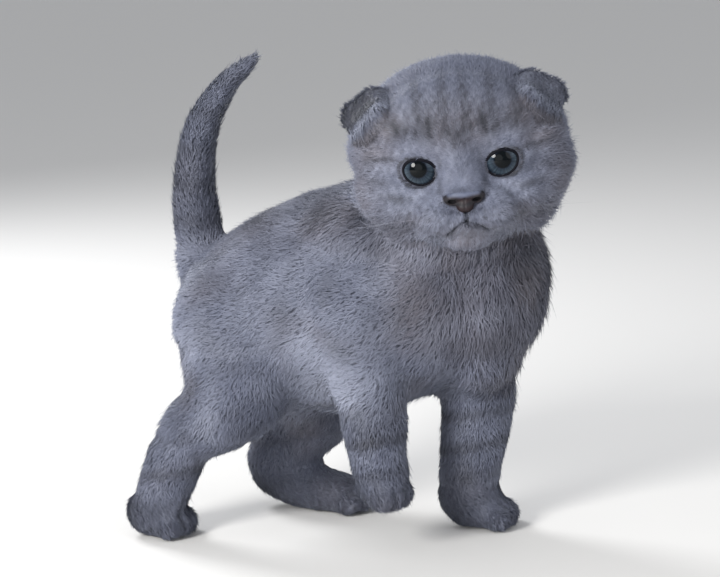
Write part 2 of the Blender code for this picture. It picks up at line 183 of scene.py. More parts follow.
def across(directions, normals):
    # the part of each direction that lies along the surface
    return unit(directions - normals * np.sum(directions * normals, axis=1, keepdims=True))


def newMaterial(name, **values):
    material = bpy.data.materials.new(name)
    material.use_nodes = True
    shader = material.node_tree.nodes["Principled BSDF"]
    for socket, value in values.items():
        shader.inputs[socket.replace("_", " ")].default_value = value
    return material, material.node_tree.nodes, material.node_tree.links, shader


def mixColours(nodes, links, factor, first, second):
    mix = nodes.new("ShaderNodeMix")
    mix.data_type = "RGBA"
    if hasattr(factor, "links"):
        links.new(factor, mix.inputs[0])
    else:
        mix.inputs[0].default_value = factor
    for socket, colour in ((6, first), (7, second)):
        if hasattr(colour, "links"):
            links.new(colour, mix.inputs[socket])
        else:
            mix.inputs[socket].default_value = (*colour, 1.0)
    return mix.outputs[2]


def attributeOutput(nodes, name):
    attribute = nodes.new("ShaderNodeAttribute")
    attribute.attribute_name = name
    return attribute.outputs["Fac"]


def noiseOutput(nodes, links, scale):
    place = nodes.new("ShaderNodeTexCoord")
    noise = nodes.new("ShaderNodeTexNoise")
    noise.inputs["Scale"].default_value = scale
    noise.inputs["Detail"].default_value = 3.0
    links.new(place.outputs["Object"], noise.inputs["Vector"])
    return noise.outputs["Fac"]


coatColours = {
    "blue": (0.107, 0.119, 0.171),
    "silver": (0.255, 0.275, 0.350),
    "slate": (0.018, 0.018, 0.024),
    "taupe": (0.128, 0.111, 0.120),
    "root": (0.104, 0.112, 0.153),
    "skin": (0.104, 0.112, 0.153),
}
coatFinish = {
    "roughness": 0.62, "gloss": 0.35, "sheen": 0.25, "sheenTint": (0.80, 0.86, 1.0, 1.0),
    "skinShare": 0.45, "rootShare": 0.5, "grain": 1500.0, "bump": 0.3,
}


def coatMaterial(name, onSkin=False):
    # marking and painted shade darken the blue, paleness and painted light lighten it, and each hair goes
    # from its root to a silver tip
    material, nodes, links, shader = newMaterial(
        name, Roughness=coatFinish["roughness"], Specular_IOR_Level=coatFinish["gloss"],
        Sheen_Weight=coatFinish["sheen"], Sheen_Roughness=0.45, Sheen_Tint=coatFinish["sheenTint"])
    pale = attributeOutput(nodes, "paleness")
    dark = attributeOutput(nodes, "marking")
    warm = attributeOutput(nodes, "warmth")
    colour = mixColours(nodes, links, warm, coatColours["blue"], coatColours["taupe"])
    colour = mixColours(nodes, links, pale, colour, coatColours["silver"])
    colour = mixColours(nodes, links, dark, colour, coatColours["slate"])
    if onSkin:
        colour = mixColours(nodes, links, coatFinish["skinShare"], colour, coatColours["skin"])
        bump = nodes.new("ShaderNodeBump")
        bump.inputs["Strength"].default_value = 0.5
        bump.inputs["Distance"].default_value = coatFinish["bump"] * mm
        links.new(noiseOutput(nodes, links, coatFinish["grain"]), bump.inputs["Height"])
        links.new(bump.outputs["Normal"], shader.inputs["Normal"])
    else:
        along = attributeOutput(nodes, "along")
        vary = attributeOutput(nodes, "vary")
        tip = mixColours(nodes, links, vary, colour, coatColours["silver"])
        base = mixColours(nodes, links, coatFinish["rootShare"], colour, coatColours["root"])
        colour = mixColours(nodes, links, along, base, tip)
    links.new(colour, shader.inputs["Base Color"])
    return material


# coat of each node: length and depth in millimetres, and the way the hair lies
coatMap = {
    "torso": (4.0, 2.1, (0.0, 1.0, -0.45)),
    "neck": (5.0, 2.6, (0.1, 0.6, -1.0)),
    "head": (3.4, 2.0, (0.0, 1.0, -0.2)),
    "thigh_left": (3.3, 1.8, (0.0, 0.6, -1.0)),
    "thigh_right": (3.3, 1.8, (0.0, 0.6, -1.0)),
    "shank_left": (3.2, 1.4, (0.0, 0.15, -1.0)),
    "shank_right": (3.2, 1.4, (0.0, 0.5, -1.0)),
    "foreleg_left": (3.3, 1.5, (0.0, 0.1, -1.0)),
    "foreleg_right": (3.3, 1.5, (0.0, 0.1, -1.0)),
    "paw_front_left": (2.5, 1.2, (0.0, -0.8, -0.7)),
    "paw_front_right": (2.5, 1.2, (0.0, -0.5, -0.9)),
    "paw_hind_left": (2.5, 1.2, (0.0, -0.9, -0.4)),
    "paw_hind_right": (2.5, 1.2, (0.0, -0.7, -0.7)),
    "tail": (3.8, 1.9, (0.0, 0.0, 1.0)),
    "nose": (0.6, 1.1, (0.0, 0.0, -1.0)),
    "eye_left": (0.6, 0.3, (0.0, 0.0, -1.0)),
    "eye_right": (0.6, 0.3, (0.0, 0.0, -1.0)),
}
skinShape = {
    "voxel": 1.1, "swell": 0.3, "smooth": 4,
    "depthShare": 0.30, "crease": 2.3, "floor": 0.35, "reach": (0.5, 5.5),
}
tailLine = (
    (0, 45.3, 72), (1, 56.3, 90), (2, 60.8, 103), (3, 60.6, 114),
    (3, 56.3, 128), (2, 47.3, 139), (2, 34.3, 149),
)
# the cleft below the nose, and the mouth on the cat's left, mirrored on its right; side and up, in shares
mouthCleft = ((0.0, -0.36), (0.0, -0.42), (0.0, -0.47))
mouthSide = ((0.0, -0.455), (0.05, -0.475), (0.10, -0.510), (0.145, -0.55), (0.18, -0.59))
mouthLines = (mouthCleft, mouthSide, tuple((-side, up) for side, up in mouthSide))
lipShape = {"depth": 0.70, "width": 0.50, "swell": 0.20, "swellAt": 1.3, "swellWidth": 0.6}
# heel and toes of each paw, in millimetres
pawPlaces = {
    "paw_front_right": ((-21.1, -14.9, 21.7), (-21.4, -17.2, 18.8)),
    "paw_front_left": ((18.7, -25.3, 7.5), (21.0, -33.4, 4.5)),
    "paw_hind_left": ((23.6, 29.7, 6.5), (23.5, 18.6, 4.5)),
    "paw_hind_right": ((-24.8, 64.2, 7.5), (-24.0, 57.1, 4.5)),
}
toeShape = {
    "gaps": (-4.3, 0.0, 4.3), "gapWidth": 0.80, "gapDepth": 1.1,
    "toes": (-6.3, -2.1, 2.1, 6.3), "toeWidth": 1.5, "swell": 0.5, "reach": 15.0,
}
fleshNodes = [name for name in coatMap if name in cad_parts]
eyeNodes = ("eye_left", "eye_right")
faceNodes = ("head", "nose") + eyeNodes
trunkNodes = ("torso", "neck")
thighNodes = ("thigh_left", "thigh_right")
forelegNodes = ("foreleg_left", "foreleg_right")
legNodes = forelegNodes + ("shank_left", "shank_right")


def fleshUnion():
    # copies of the flesh nodes, swollen a hair's breadth so that the small gaps close, as one remeshed body
    bm = bmesh.new()
    points, owners = [], []
    for index, name in enumerate(fleshNodes):
        part = solidCopy(name)
        part.normal_update()
        for vert in part.verts:
            points.append(vert.co.copy())
            owners.append(index)
            vert.co += vert.normal * skinShape["swell"] * mm
        mesh = bpy.data.meshes.new("part")
        part.to_mesh(mesh)
        part.free()
        bm.from_mesh(mesh)
        bpy.data.meshes.remove(mesh)
    body = newObject("skin", bm, [])
    remeshed(body, skinShape["voxel"])
    return body, points, owners


def keepLargest(bm):
    # the outer shell only
    seen, shells = set(), []
    for start in bm.verts:
        if start.index in seen:
            continue
        stack, shell = [start], []
        seen.add(start.index)
        while stack:
            vert = stack.pop()
            shell.append(vert)
            for edge in vert.link_edges:
                other = edge.other_vert(vert)
                if other.index not in seen:
                    seen.add(other.index)
                    stack.append(other)
        shells.append(shell)
    shells.sort(key=len, reverse=True)
    for shell in shells[1:]:
        bmesh.ops.delete(bm, geom=shell, context="VERTS")


def pawFrame(name):
    # toes, forward and aside of one paw
    heel, toes = (Vector(place) for place in pawPlaces[name])
    forward = toes - heel
    if name != "paw_front_right":
        forward.z = 0.0
    forward.normalize()
    aside = Vector((0, 0, 1)).cross(forward).normalized() if abs(forward.z) < 0.5 else Vector((1, 0, 0))
    return toes, forward, aside


def refineFace(body):
    # finer faces where the face and the toes are carved
    bm = bmesh.new()
    bm.from_mesh(body.data)
    bm.verts.ensure_lookup_table()
    keepLargest(bm)
    bm.normal_update()
    for stage, (low, bound) in enumerate(((0.30, 0.80), (0.42, 0.66))):
        co = np.array([vert.co for vert in bm.verts])
        shares = headShares(co)
        facing = np.array([vert.normal for vert in bm.verts]) @ np.array(head.to_3x3() @ Vector((0, 1, 0)))
        inside = (shares[:, 1] > low) & (np.abs(shares[:, 0]) < bound) & (shares[:, 2] > -0.80)
        inside &= (shares[:, 2] < 0.42) & (facing > 0.05)
        if stage == 0:
            for name in pawPlaces:
                toes, forward = pawFrame(name)[:2]
                inside |= np.linalg.norm(co / mm - np.array(toes + forward * 3.0), axis=1) < 11.0
        bm.verts.index_update()
        edges = [edge for edge in bm.edges if inside[edge.verts[0].index] and inside[edge.verts[1].index]]
        bmesh.ops.subdivide_edges(bm, edges=edges, cuts=1, use_grid_fill=True, smooth=0.6)
        bm.normal_update()
    bm.to_mesh(body.data)
    bm.free()


def lineDistance(points, line):
    # distance from each 2-D point to a broken line
    best = np.full(len(points), 1e9)
    for start, end in zip(line[:-1], line[1:]):
        a, b = np.array(start), np.array(end)
        t = np.clip(((points - a) @ (b - a)) / np.dot(b - a, b - a), 0, 1)
        best = np.minimum(best, np.linalg.norm(points - a - t[:, None] * (b - a), axis=1))
    return best


def eyeRadius(points, sign):
    # distance from the eye's centre in millimetres, and share of the opening's ellipse, of each point
    centre, right, up, gaze = eyeFrame(sign)
    away = (points - np.array(centre)) / mm
    side, rise, front = away @ np.array(right) * sign, away @ np.array(up), away @ np.array(gaze)
    width, height = eyeShape["opening"]
    # the outer corner stands a little high, the inner corner a little low, and the upper lid is flatter
    rise = rise - eyeShape["tilt"] * side
    rise = np.where(rise > 0, rise / eyeShape["flatTop"], rise)
    share = np.sqrt((side / width) ** 2 + (rise / height) ** 2)
    return np.linalg.norm(away, axis=1), share, front


def carveFace(points, normals):
    # lids that follow the eyeballs, and the line of the mouth
    shares = headShares(points)
    half = headPose["half"]
    for sign in (1, -1):
        far, share, front = eyeRadius(points, sign)
        centre = np.array(eyeFrame(sign)[0])
        away = unit(points - centre)
        ball = eyeShape["radius"]
        target = np.where(share < 1.0, ball - eyeShape["setIn"], ball + eyeShape["lid"])
        target = np.where((share > 1.0) & (share < 1.12), ball + eyeShape["lidEdge"], target)
        hold = 1.0 - smoothStep(1.05, 1.55, share)
        hold = np.where(front > 0, hold, 0.0)
        moved = far + (target - far) * hold
        points = np.where((hold > 0)[:, None], centre + away * moved[:, None] * mm, points)
    flat = np.stack((shares[:, 0], shares[:, 2]), axis=1)
    ahead = smoothStep(0.55, 0.70, shares[:, 1])
    for line in mouthLines:
        near = lineDistance(flat, line) * half
        groove = lipShape["depth"] * np.exp(-((near / lipShape["width"]) ** 2))
        lip = lipShape["swell"] * np.exp(-(((near - lipShape["swellAt"]) / lipShape["swellWidth"]) ** 2))
        points = points + normals * ((lip - groove) * ahead * mm)[:, None]
    return points


def carvePaws(points, normals):
    # gaps between the toes, and the toes full between them; the gaps also come back as painted shade
    dark = np.zeros(len(points))
    for name in pawPlaces:
        toes, forward, aside = pawFrame(name)
        away = points / mm - np.array(toes)
        ahead, sideways = away @ np.array(forward), away @ np.array(aside)
        far = np.linalg.norm(away, axis=1)
        near = smoothStep(-0.5, 3.5, ahead) * (far < toeShape["reach"])
        for gap in toeShape["gaps"]:
            fit = near * np.exp(-(((sideways - gap) / toeShape["gapWidth"]) ** 2))
            points = points - normals * (fit * toeShape["gapDepth"] * mm)[:, None]
            # painted shade in the gaps between the toes
            dark = np.maximum(dark, fit)
        for toe in toeShape["toes"]:
            fit = near * np.exp(-(((sideways - toe) / toeShape["toeWidth"]) ** 2))
            points = points + normals * (fit * toeShape["swell"] * mm)[:, None]
    return points, dark


def nearestOwner(points, tree, owners):
    return np.array([owners[tree.find(point)[1]] for point in points])


# length and depth of the hair in millimetres: added on chest, belly and thigh, and whole from nape to muzzle;
# then the jowl's and bridge's length, what the temple adds, the leather's bed and the share a tail tip loses
coatPlaces = {
    "chest": (2.6, 0.9), "belly": (1.8, 0.5), "thigh": (1.4, 0.4), "nape": (4.8, 2.3), "muzzle": (1.7, 0.7),
    "jowl": 6.0, "bridge": 1.1, "temple": 1.3, "leather": 1.2, "tailTip": 0.45,
}


def coatAttributes(points, normals, owner, edges):
    # length, depth and lie of the coat at each vertex, blended over the joins between the nodes
    length = np.array([coatMap[fleshNodes[i]][0] for i in owner])
    depth = np.array([coatMap[fleshNodes[i]][1] for i in owner])
    lie = np.array([coatMap[fleshNodes[i]][2] for i in owner], float)
    shares = headShares(points)
    onFace = fleshMask(owner, faceNodes) > 0
    nose = np.array(onHead(0, 0.95, -0.12))
    radial = unit(points - nose)
    backward = np.array(head.to_3x3() @ Vector((0, -1, 0)))
    downward = np.array(head.to_3x3() @ Vector((0, 0, -1)))
    lie = np.where(onFace[:, None], radial + 0.5 * backward + 0.25 * downward, lie)
    # the tail's hair runs towards its tip
    isTail = fleshMask(owner, ("tail",)) > 0
    line = np.array(tailLine, float) * mm
    steps = unit(line[1:] - line[:-1])
    middles = (line[1:] + line[:-1]) / 2
    nearest = np.argmin(np.linalg.norm(points[:, None, :] - middles[None], axis=2), axis=1)
    lie = np.where(isTail[:, None], steps[nearest], lie)
    # chest and belly
    front = smoothStep(-30, -44, points[:, 1] / mm) * fleshMask(owner, trunkNodes)
    lie = lie * (1 - front[:, None]) + front[:, None] * np.array((0.0, 0.1, -1.0))
    # long on the chest, under the belly and behind the thighs
    fringe = fleshMask(owner, ("torso",)) * (1 - smoothStep(44, 56, points[:, 2] / mm))
    back = fleshMask(owner, thighNodes) * smoothStep(0.1, 0.8, normals[:, 1])
    for share, place in ((front, "chest"), (fringe, "belly"), (back, "thigh")):
        length = length + coatPlaces[place][0] * share
        depth = depth + coatPlaces[place][1] * share
    # short on the face, longer on cheeks and behind
    around = shares[:, 1] + 0.35 * (1 - np.abs(shares[:, 0]))
    short = smoothStep(0.15, 0.85, around)
    (longest, deepest), (shortest, thinnest) = coatPlaces["nape"], coatPlaces["muzzle"]
    length = np.where(onFace, longest + (shortest - longest) * short, length)
    depth = np.where(onFace, deepest + (thinnest - deepest) * short, depth)
    jowl = onFace * smoothStep(-0.30, -0.50, shares[:, 2]) * smoothStep(0.22, 0.40, np.abs(shares[:, 0]))
    length = length + jowl * (coatPlaces["jowl"] - length)
    bridge = bridgeOf(shares)
    length = length + bridge * (coatPlaces["bridge"] - length)
    temple = onFace * smoothStep(0.70, 0.95, np.abs(shares[:, 0])) * (1 - smoothStep(0.2, 0.5, shares[:, 2]))
    length = length + coatPlaces["temple"] * temple
    thin = smoothStep(110, 149, points[:, 2] / mm) * isTail
    depth = depth * (1 - coatPlaces["tailTip"] * thin)
    length = relaxed(length, edges, 18)
    depth = relaxed(depth, edges, 18) + coatPlaces["leather"] * leatherOf(shares)
    for _ in range(3):
        lie = across(lie, normals)
        lie = relaxed(lie, edges, 8)
    lie = across(lie, normals)
    return length, depth, lie


def bridgeOf(shares):
    # the velvet between the eyes and the leather of the nose, from 0 to 1
    fit = np.exp(-((shares[:, 0] / 0.19) ** 4) - ((shares[:, 2] + 0.14) / 0.17) ** 4)
    return fit * smoothStep(0.60, 0.78, shares[:, 1])


def leatherOf(shares):
    # the bare leather of the nose, 0 or 1: as wide as the nostrils, narrowing down to the cleft
    wide = 0.20 * smoothStep(-0.42, -0.27, shares[:, 2])
    return (np.abs(shares[:, 0]) < wide) * (shares[:, 2] < -0.20) * (shares[:, 1] > 0.70) * 1.0


def fleshMask(owner, names):
    return np.array([fleshNodes[i] in names for i in owner], float)


def reachOut(points):
    # how far each point of the skin lies inside the solids, in millimetres
    verts, faces = [], []
    for name in fleshNodes:
        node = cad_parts[name]
        first = len(verts)
        verts += [node.matrix_world @ vert.co for vert in node.data.vertices]
        faces += [[first + i for i in face.vertices] for face in node.data.polygons]
    tree = BVHTree.FromPolygons(verts, faces)
    far = np.empty(len(points))
    for i, point in enumerate(points):
        near, normal, _, reach = tree.find_nearest(Vector(point))
        outside = (Vector(point) - near).dot(normal) > 0
        far[i] = 0.0 if outside else reach / mm
    return np.clip(far, *skinShape["reach"])


def localThickness(points, normals, mesh):
    # how far it is to the other side of the body
    farthest = 0.05
    tree = BVHTree.FromPolygons([Vector(p) for p in points], [p.vertices[:] for p in mesh.polygons])
    thick = np.full(len(points), farthest)
    for i, (point, normal) in enumerate(zip(points, normals)):
        start = Vector(point) - Vector(normal) * 0.4 * mm
        hit = tree.ray_cast(start, -Vector(normal), farthest)
        if hit[0] is not None:
            thick[i] = hit[3]
    return thick


# dark and pale places of the face: side and height, half width and half height in shares, strength
faceDark = (
    (0.23, 0.38, 0.045, 0.12, 0.60), (0.47, 0.36, 0.10, 0.06, 0.35), (0.68, 0.10, 0.15, 0.022, 0.55),
    (0.60, -0.24, 0.13, 0.035, 0.45), (0.74, -0.10, 0.13, 0.030, 0.30), (0.44, -0.44, 0.07, 0.022, 0.35),
    (0.17, 0.06, 0.035, 0.09, 0.25), (0.19, -0.16, 0.030, 0.07, 0.35), (0.62, 0.42, 0.14, 0.04, 0.30),
    (0.0, 0.26, 0.09, 0.10, 0.22), (0.66, -0.52, 0.12, 0.035, 0.30),
)
facePale = (
    (0.40, -0.235, 0.17, 0.065, 0.75), (0.68, 0.02, 0.13, 0.035, 0.55), (0.28, -0.42, 0.13, 0.075, 0.60),
    (0.28, 0.26, 0.045, 0.14, 0.50), (0.56, -0.33, 0.14, 0.030, 0.50), (0.14, -0.60, 0.15, 0.08, 0.40),
    (0.36, -0.62, 0.16, 0.05, 0.40), (0.78, -0.22, 0.12, 0.030, 0.40), (0.0, -0.08, 0.12, 0.12, 0.15),
    (0.44, 0.25, 0.12, 0.03, 0.35), (0.80, -0.40, 0.12, 0.030, 0.35),
)

# warm places of the face, given as the dark ones are: partly the fur's own warm tone and partly painted warm
# bounce light
warmPlaces = (
    (0.16, 0.36, 0.18, 0.20, 0.65), (0.60, 0.40, 0.18, 0.14, 0.80), (0.72, 0.16, 0.16, 0.12, 0.60),
    (0.10, -0.62, 0.20, 0.14, 0.55), (0.55, -0.55, 0.22, 0.14, 0.50), (0.95, -0.30, 0.20, 0.45, 0.70),
    (0.46, -0.40, 0.16, 0.05, 0.40),
)


# rows of spots on the lips: their heights, and the half width, half height and strength of a spot
whiskerSpots = {"rows": (-0.36, -0.43, -0.50), "perRow": 4, "look": (0.020, 0.014, 0.55)}
# how strong each marking is, and the belly's painted light; the pale ones lighten
markStrength = {
    "crown": 0.16, "bar": 0.36, "barPale": 0.14, "faceDark": 1.5, "facePale": 0.70, "mouth": 0.75,
    "lid": 0.95, "leg": 0.10, "legBand": 0.48, "thighBand": 0.12, "tail": 0.30, "tailBand": 0.20, "paw": 0.40,
    "spine": 0.16, "flankBand": 0.10, "chest": 0.16, "blotch": 0.13,
    "bellyPaintedLight": 1.1, "flankPale": 0.18, "blotchPale": 0.22,
}


def facePatch(shares, place, sign):
    # one soft spot of the face, at each point
    side, up, width, height, strength = place
    aside = (shares[:, 0] - side * sign) / width
    rise = (shares[:, 2] - up) / height
    return strength * np.exp(-(aside ** 2) - rise ** 2)


def faceMarking(points, front):
    # bars, spots and lid rings of the face; front is 1 on the face and 0 behind
    shares = headShares(points)
    side, forward, up = shares.T
    # bars of the forehead, dark and pale by turns
    crown = front * smoothStep(0.20, 0.34, up) * (1 - smoothStep(0.66, 0.98, up))
    crown = crown * (1 - smoothStep(0.45, 0.70, np.abs(side)))
    bars = np.cos(np.abs(side) * 27.0 + 0.6)
    dark = crown * (markStrength["bar"] * smoothStep(0.0, 0.9, -bars) + markStrength["crown"])
    pale = crown * markStrength["barPale"] * smoothStep(0.2, 0.9, bars)
    for sign in (1, -1):
        for place in faceDark:
            dark += markStrength["faceDark"] * front * facePatch(shares, place, sign)
        for place in facePale:
            pale += markStrength["facePale"] * front * facePatch(shares, place, sign)
        # spots that the whiskers grow from
        for row, height in enumerate(whiskerSpots["rows"]):
            for step in range(whiskerSpots["perRow"]):
                place = (0.17 + 0.075 * step - 0.01 * row, height + 0.018 * step)
                dark += front * facePatch(shares, place + whiskerSpots["look"], sign)
    for line in mouthLines:
        near = lineDistance(shares[:, (0, 2)], line)
        lips = np.exp(-((near / 0.026) ** 2)) * smoothStep(0.5, 0.66, forward)
        dark += markStrength["mouth"] * front * lips
    for sign in (1, -1):
        share, ahead = eyeRadius(points, sign)[1:]
        ring = (1 - smoothStep(1.12, 1.34, share)) * (ahead > 0) * front
        dark = np.maximum(dark, markStrength["lid"] * ring)
        pale = pale * (1 - ring)
    # under the leather of the nose, and in the nostrils, the skin is dark
    leather = leatherOf(shares)
    return np.maximum(dark, leather), pale * (1 - leather)


def markingOf(points, owner, edges):
    # tabby marking and paleness at each point, both from 0 to 1; the belly's paleness is painted light
    front = fleshMask(owner, faceNodes) * smoothStep(0.05, 0.40, headShares(points)[:, 1])
    dark, pale = faceMarking(points, front)
    x, y, z = (points / mm).T
    # bands of legs and tail, fading out over the joins
    legs = relaxed(fleshMask(owner, legNodes), edges, 60)
    bands = smoothStep(0.1, 0.9, np.sin(z * 0.62 + 0.12 * y)) * smoothStep(14, 24, z)
    dark += legs * (markStrength["legBand"] * bands + markStrength["leg"])
    thighs = relaxed(fleshMask(owner, thighNodes), edges, 60)
    dark += markStrength["thighBand"] * thighs * smoothStep(0.1, 0.9, np.sin(z * 0.45 + 0.25 * y))
    tail = relaxed(fleshMask(owner, ("tail",)), edges, 60)
    dark += tail * (markStrength["tail"] + markStrength["tailBand"] * smoothStep(0, 1, np.sin(z * 0.55)))
    dark += markStrength["paw"] * relaxed(fleshMask(owner, pawPlaces), edges, 30)
    # spine, flanks and chest
    trunk = relaxed(fleshMask(owner, trunkNodes), edges, 60)
    flank = smoothStep(0.3, 0.95, np.sin(y * 0.42 + 0.12 * z)) * smoothStep(60, 80, z)
    dark += markStrength["spine"] * trunk * smoothStep(92, 104, z) * (np.abs(x) < 14)
    dark += markStrength["flankBand"] * trunk * flank
    dark += markStrength["chest"] * trunk * smoothStep(-38, -50, y) * (1 - smoothStep(84, 96, z))
    # painted light under the belly, where the lamps leave shade
    pale += markStrength["bellyPaintedLight"] * trunk * (1 - smoothStep(46, 74, z)) * smoothStep(-25, -8, y)
    pale += markStrength["flankPale"] * trunk * smoothStep(-40, -15, y)
    # soft blotches over the flanks
    blotch = slowWaves(points, np.random.default_rng(9), 9.0, 22.0)
    body = fleshMask(owner, trunkNodes + thighNodes + forelegNodes)
    dark += markStrength["blotch"] * body * np.maximum(blotch, 0)
    pale += markStrength["blotchPale"] * body * np.maximum(-blotch, 0)
    return np.clip(dark, 0, 1), np.clip(pale, 0, 1)


warmStrength = {"chest": 0.45, "back": 0.30, "trunkWave": 0.55, "limbWave": 0.25}


def warmthOf(points, owner):
    # where the blue turns to a warm grey-brown, from 0 to 1: partly the fur's own tone and partly painted
    # warm bounce light
    shares = headShares(points)
    front = fleshMask(owner, faceNodes) * smoothStep(0.05, 0.40, shares[:, 1])
    warm = np.zeros(len(points))
    for place in warmPlaces:
        for sign in (1, -1):
            warm += front * facePatch(shares, place, sign)
    y, z = points[:, 1] / mm, points[:, 2] / mm
    trunk = fleshMask(owner, trunkNodes)
    warm += warmStrength["chest"] * trunk * smoothStep(-20, -40, y) * smoothStep(52, 66, z)
    warm += warmStrength["back"] * trunk * smoothStep(84, 100, z)
    waves = np.maximum(slowWaves(points, np.random.default_rng(3), 14.0, 34.0), 0)
    body = fleshMask(owner, trunkNodes + thighNodes)
    warm += waves * (warmStrength["trunkWave"] * body + warmStrength["limbWave"] * (1 - body) * (1 - front))
    return np.clip(warm, 0, 1)


def readAttribute(mesh, name):
    values = np.empty(len(mesh.vertices), np.float32)
    mesh.attributes[name].data.foreach_get("value", values)
    return values.astype(float)


def setAttribute(mesh, name, values, domain="POINT"):
    attribute = mesh.attributes.new(name, "FLOAT", domain)
    attribute.data.foreach_set("value", np.ascontiguousarray(values, np.float32))


def paintCoat(mesh, dark, pale, warm):
    setAttribute(mesh, "marking", dark)
    setAttribute(mesh, "paleness", pale)
    setAttribute(mesh, "warmth", warm)


def paintOf(mesh):
    return {name: readAttribute(mesh, name) for name in ("marking", "paleness", "warmth")}


def makeSkin():
    body, solidPoints, owners = fleshUnion()
    refineFace(body)
    mesh = body.data
    edges = edgeArray(mesh)
    points = vertexArray(mesh)
    points = relaxed(points, edges, skinShape["smooth"], 0.5)
    moveVertices(mesh, points)
    tree = KDTree(len(solidPoints))
    for i, point in enumerate(solidPoints):
        tree.insert(point, i)
    tree.balance()
    owner = nearestOwner(points, tree, owners)
    normals = normalArray(mesh)
    length, depth, lie = coatAttributes(points, normals, owner, edges)
    thick = localThickness(points, normals, mesh)
    depth = np.minimum(depth * mm, skinShape["depthShare"] * thick + 0.1 * mm)
    depth = relaxed(depth, edges, 6)
    smoothNormals = unit(relaxed(normals, edges, 4))
    points = points - smoothNormals * (depth + skinShape["swell"] * mm)[:, None]
    points = relaxed(points, edges, 2, 0.4)
    moveVertices(mesh, points)
    ofHead = relaxed(fleshMask(owner, faceNodes), edges, 24)
    shares = headShares(points)
    seam = (4 * ofHead * (1 - ofHead)) ** 2
    # the nape is one smooth slope
    wide = relaxed((seam > 0.05) * 1.0, edges, 20)
    nape = np.clip(wide * 1.6, 0, 1) * (1 - smoothStep(-0.45, -0.05, shares[:, 1]))
    points = points + nape[:, None] * (relaxed(points, edges, 60) - points)
    moveVertices(mesh, points)
    # a crease under the jaw, which the longer hair of the cheeks hangs over
    seam = seam * smoothStep(-0.15, -0.45, shares[:, 2]) * smoothStep(-0.60, -0.15, shares[:, 1])
    points = points - normalArray(mesh) * (seam * skinShape["crease"] * mm)[:, None]
    points = carveFace(points, normalArray(mesh))
    points, toeGapShade = carvePaws(points, normalArray(mesh))
    points[:, 2] = np.maximum(points[:, 2], skinShape["floor"] * mm)
    moveVertices(mesh, points)
    depth = relaxed(reachOut(points), edges, 4)
    dark, pale = markingOf(points, owner, edges)
    # painted shade in the gaps between the toes
    dark = np.maximum(dark, 0.75 * toeGapShade)
    # painted shadow on the neck under the jaw, and the jaw's edge made paler above it
    dark = np.clip(dark + 0.75 * seam * (ofHead < 0.5), 0, 1)
    pale = np.clip(pale + 0.60 * seam * (ofHead > 0.5), 0, 1)
    paintCoat(mesh, dark, pale, warmthOf(points, owner))
    mesh.materials.append(coatMaterial("coat skin", onSkin=True))
    smoothFaces(mesh)
    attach(body, "root")
    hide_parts(*[name for name in fleshNodes if not name.startswith(("eye", "nose"))])
    return body, owner, length, depth, lie


eyeColours = {
    "iris": (0.018, 0.027, 0.040), "irisPale": (0.038, 0.053, 0.070), "rim": (0.006, 0.009, 0.016),
    "pupil": (0.001, 0.002, 0.003), "white": (0.30, 0.31, 0.33), "lid": (0.004, 0.004, 0.007),
}


def eyeMaterial(name):
    # iris drawn from the eye's own map, whose middle is the gaze and whose width is the eyeball's
    material, nodes, links, shader = newMaterial(
        name, Roughness=0.6, Specular_IOR_Level=0.0, Coat_Weight=0.7, Coat_Roughness=0.05, Coat_IOR=1.3)
    uv = nodes.new("ShaderNodeUVMap")
    uv.uv_map = "EyeUV"
    centred = nodes.new("ShaderNodeVectorMath")
    centred.operation = "SUBTRACT"
    centred.inputs[1].default_value = (0.5, 0.5, 0.0)
    links.new(uv.outputs["UV"], centred.inputs[0])
    far = nodes.new("ShaderNodeVectorMath")
    far.operation = "LENGTH"
    links.new(centred.outputs[0], far.inputs[0])
    turned = nodes.new("ShaderNodeVectorMath")
    turned.operation = "NORMALIZE"
    links.new(centred.outputs[0], turned.inputs[0])
    rays = nodes.new("ShaderNodeTexNoise")
    rays.inputs["Scale"].default_value = 9.0
    rays.inputs["Detail"].default_value = 4.0
    links.new(turned.outputs[0], rays.inputs["Vector"])
    ramp = nodes.new("ShaderNodeValToRGB")
    ramp.color_ramp.interpolation = "EASE"
    scale = 0.5 / eyeShape["radius"]
    stops = (
        (eyeShape["pupil"] * scale - 0.006, eyeColours["pupil"]),
        (eyeShape["pupil"] * scale + 0.008, eyeColours["rim"]),
        (eyeShape["pupil"] * scale + 0.030, eyeColours["iris"]),
        (eyeShape["iris"] * scale - 0.075, eyeColours["irisPale"]),
        (eyeShape["iris"] * scale - 0.030, eyeColours["iris"]),
        (eyeShape["iris"] * scale - 0.006, eyeColours["rim"]),
        (eyeShape["iris"] * scale + 0.020, eyeColours["white"]),
    )
    elements = ramp.color_ramp.elements
    while len(elements) < len(stops):
        elements.new(0.5)
    for element, (place, colour) in zip(elements, stops):
        element.position = place
        element.color = (*colour, 1.0)
    links.new(far.outputs["Value"], ramp.inputs["Fac"])
    darker = nodes.new("ShaderNodeMapRange")
    darker.inputs["From Min"].default_value = 0.35
    darker.inputs["From Max"].default_value = 0.65
    darker.inputs["To Min"].default_value = 0.62
    darker.inputs["To Max"].default_value = 1.25
    links.new(rays.outputs["Fac"], darker.inputs["Value"])
    scaled = nodes.new("ShaderNodeVectorMath")
    scaled.operation = "SCALE"
    links.new(ramp.outputs["Color"], scaled.inputs[0])
    links.new(darker.outputs["Result"], scaled.inputs["Scale"])
    links.new(scaled.outputs[0], shader.inputs["Base Color"])
    return material


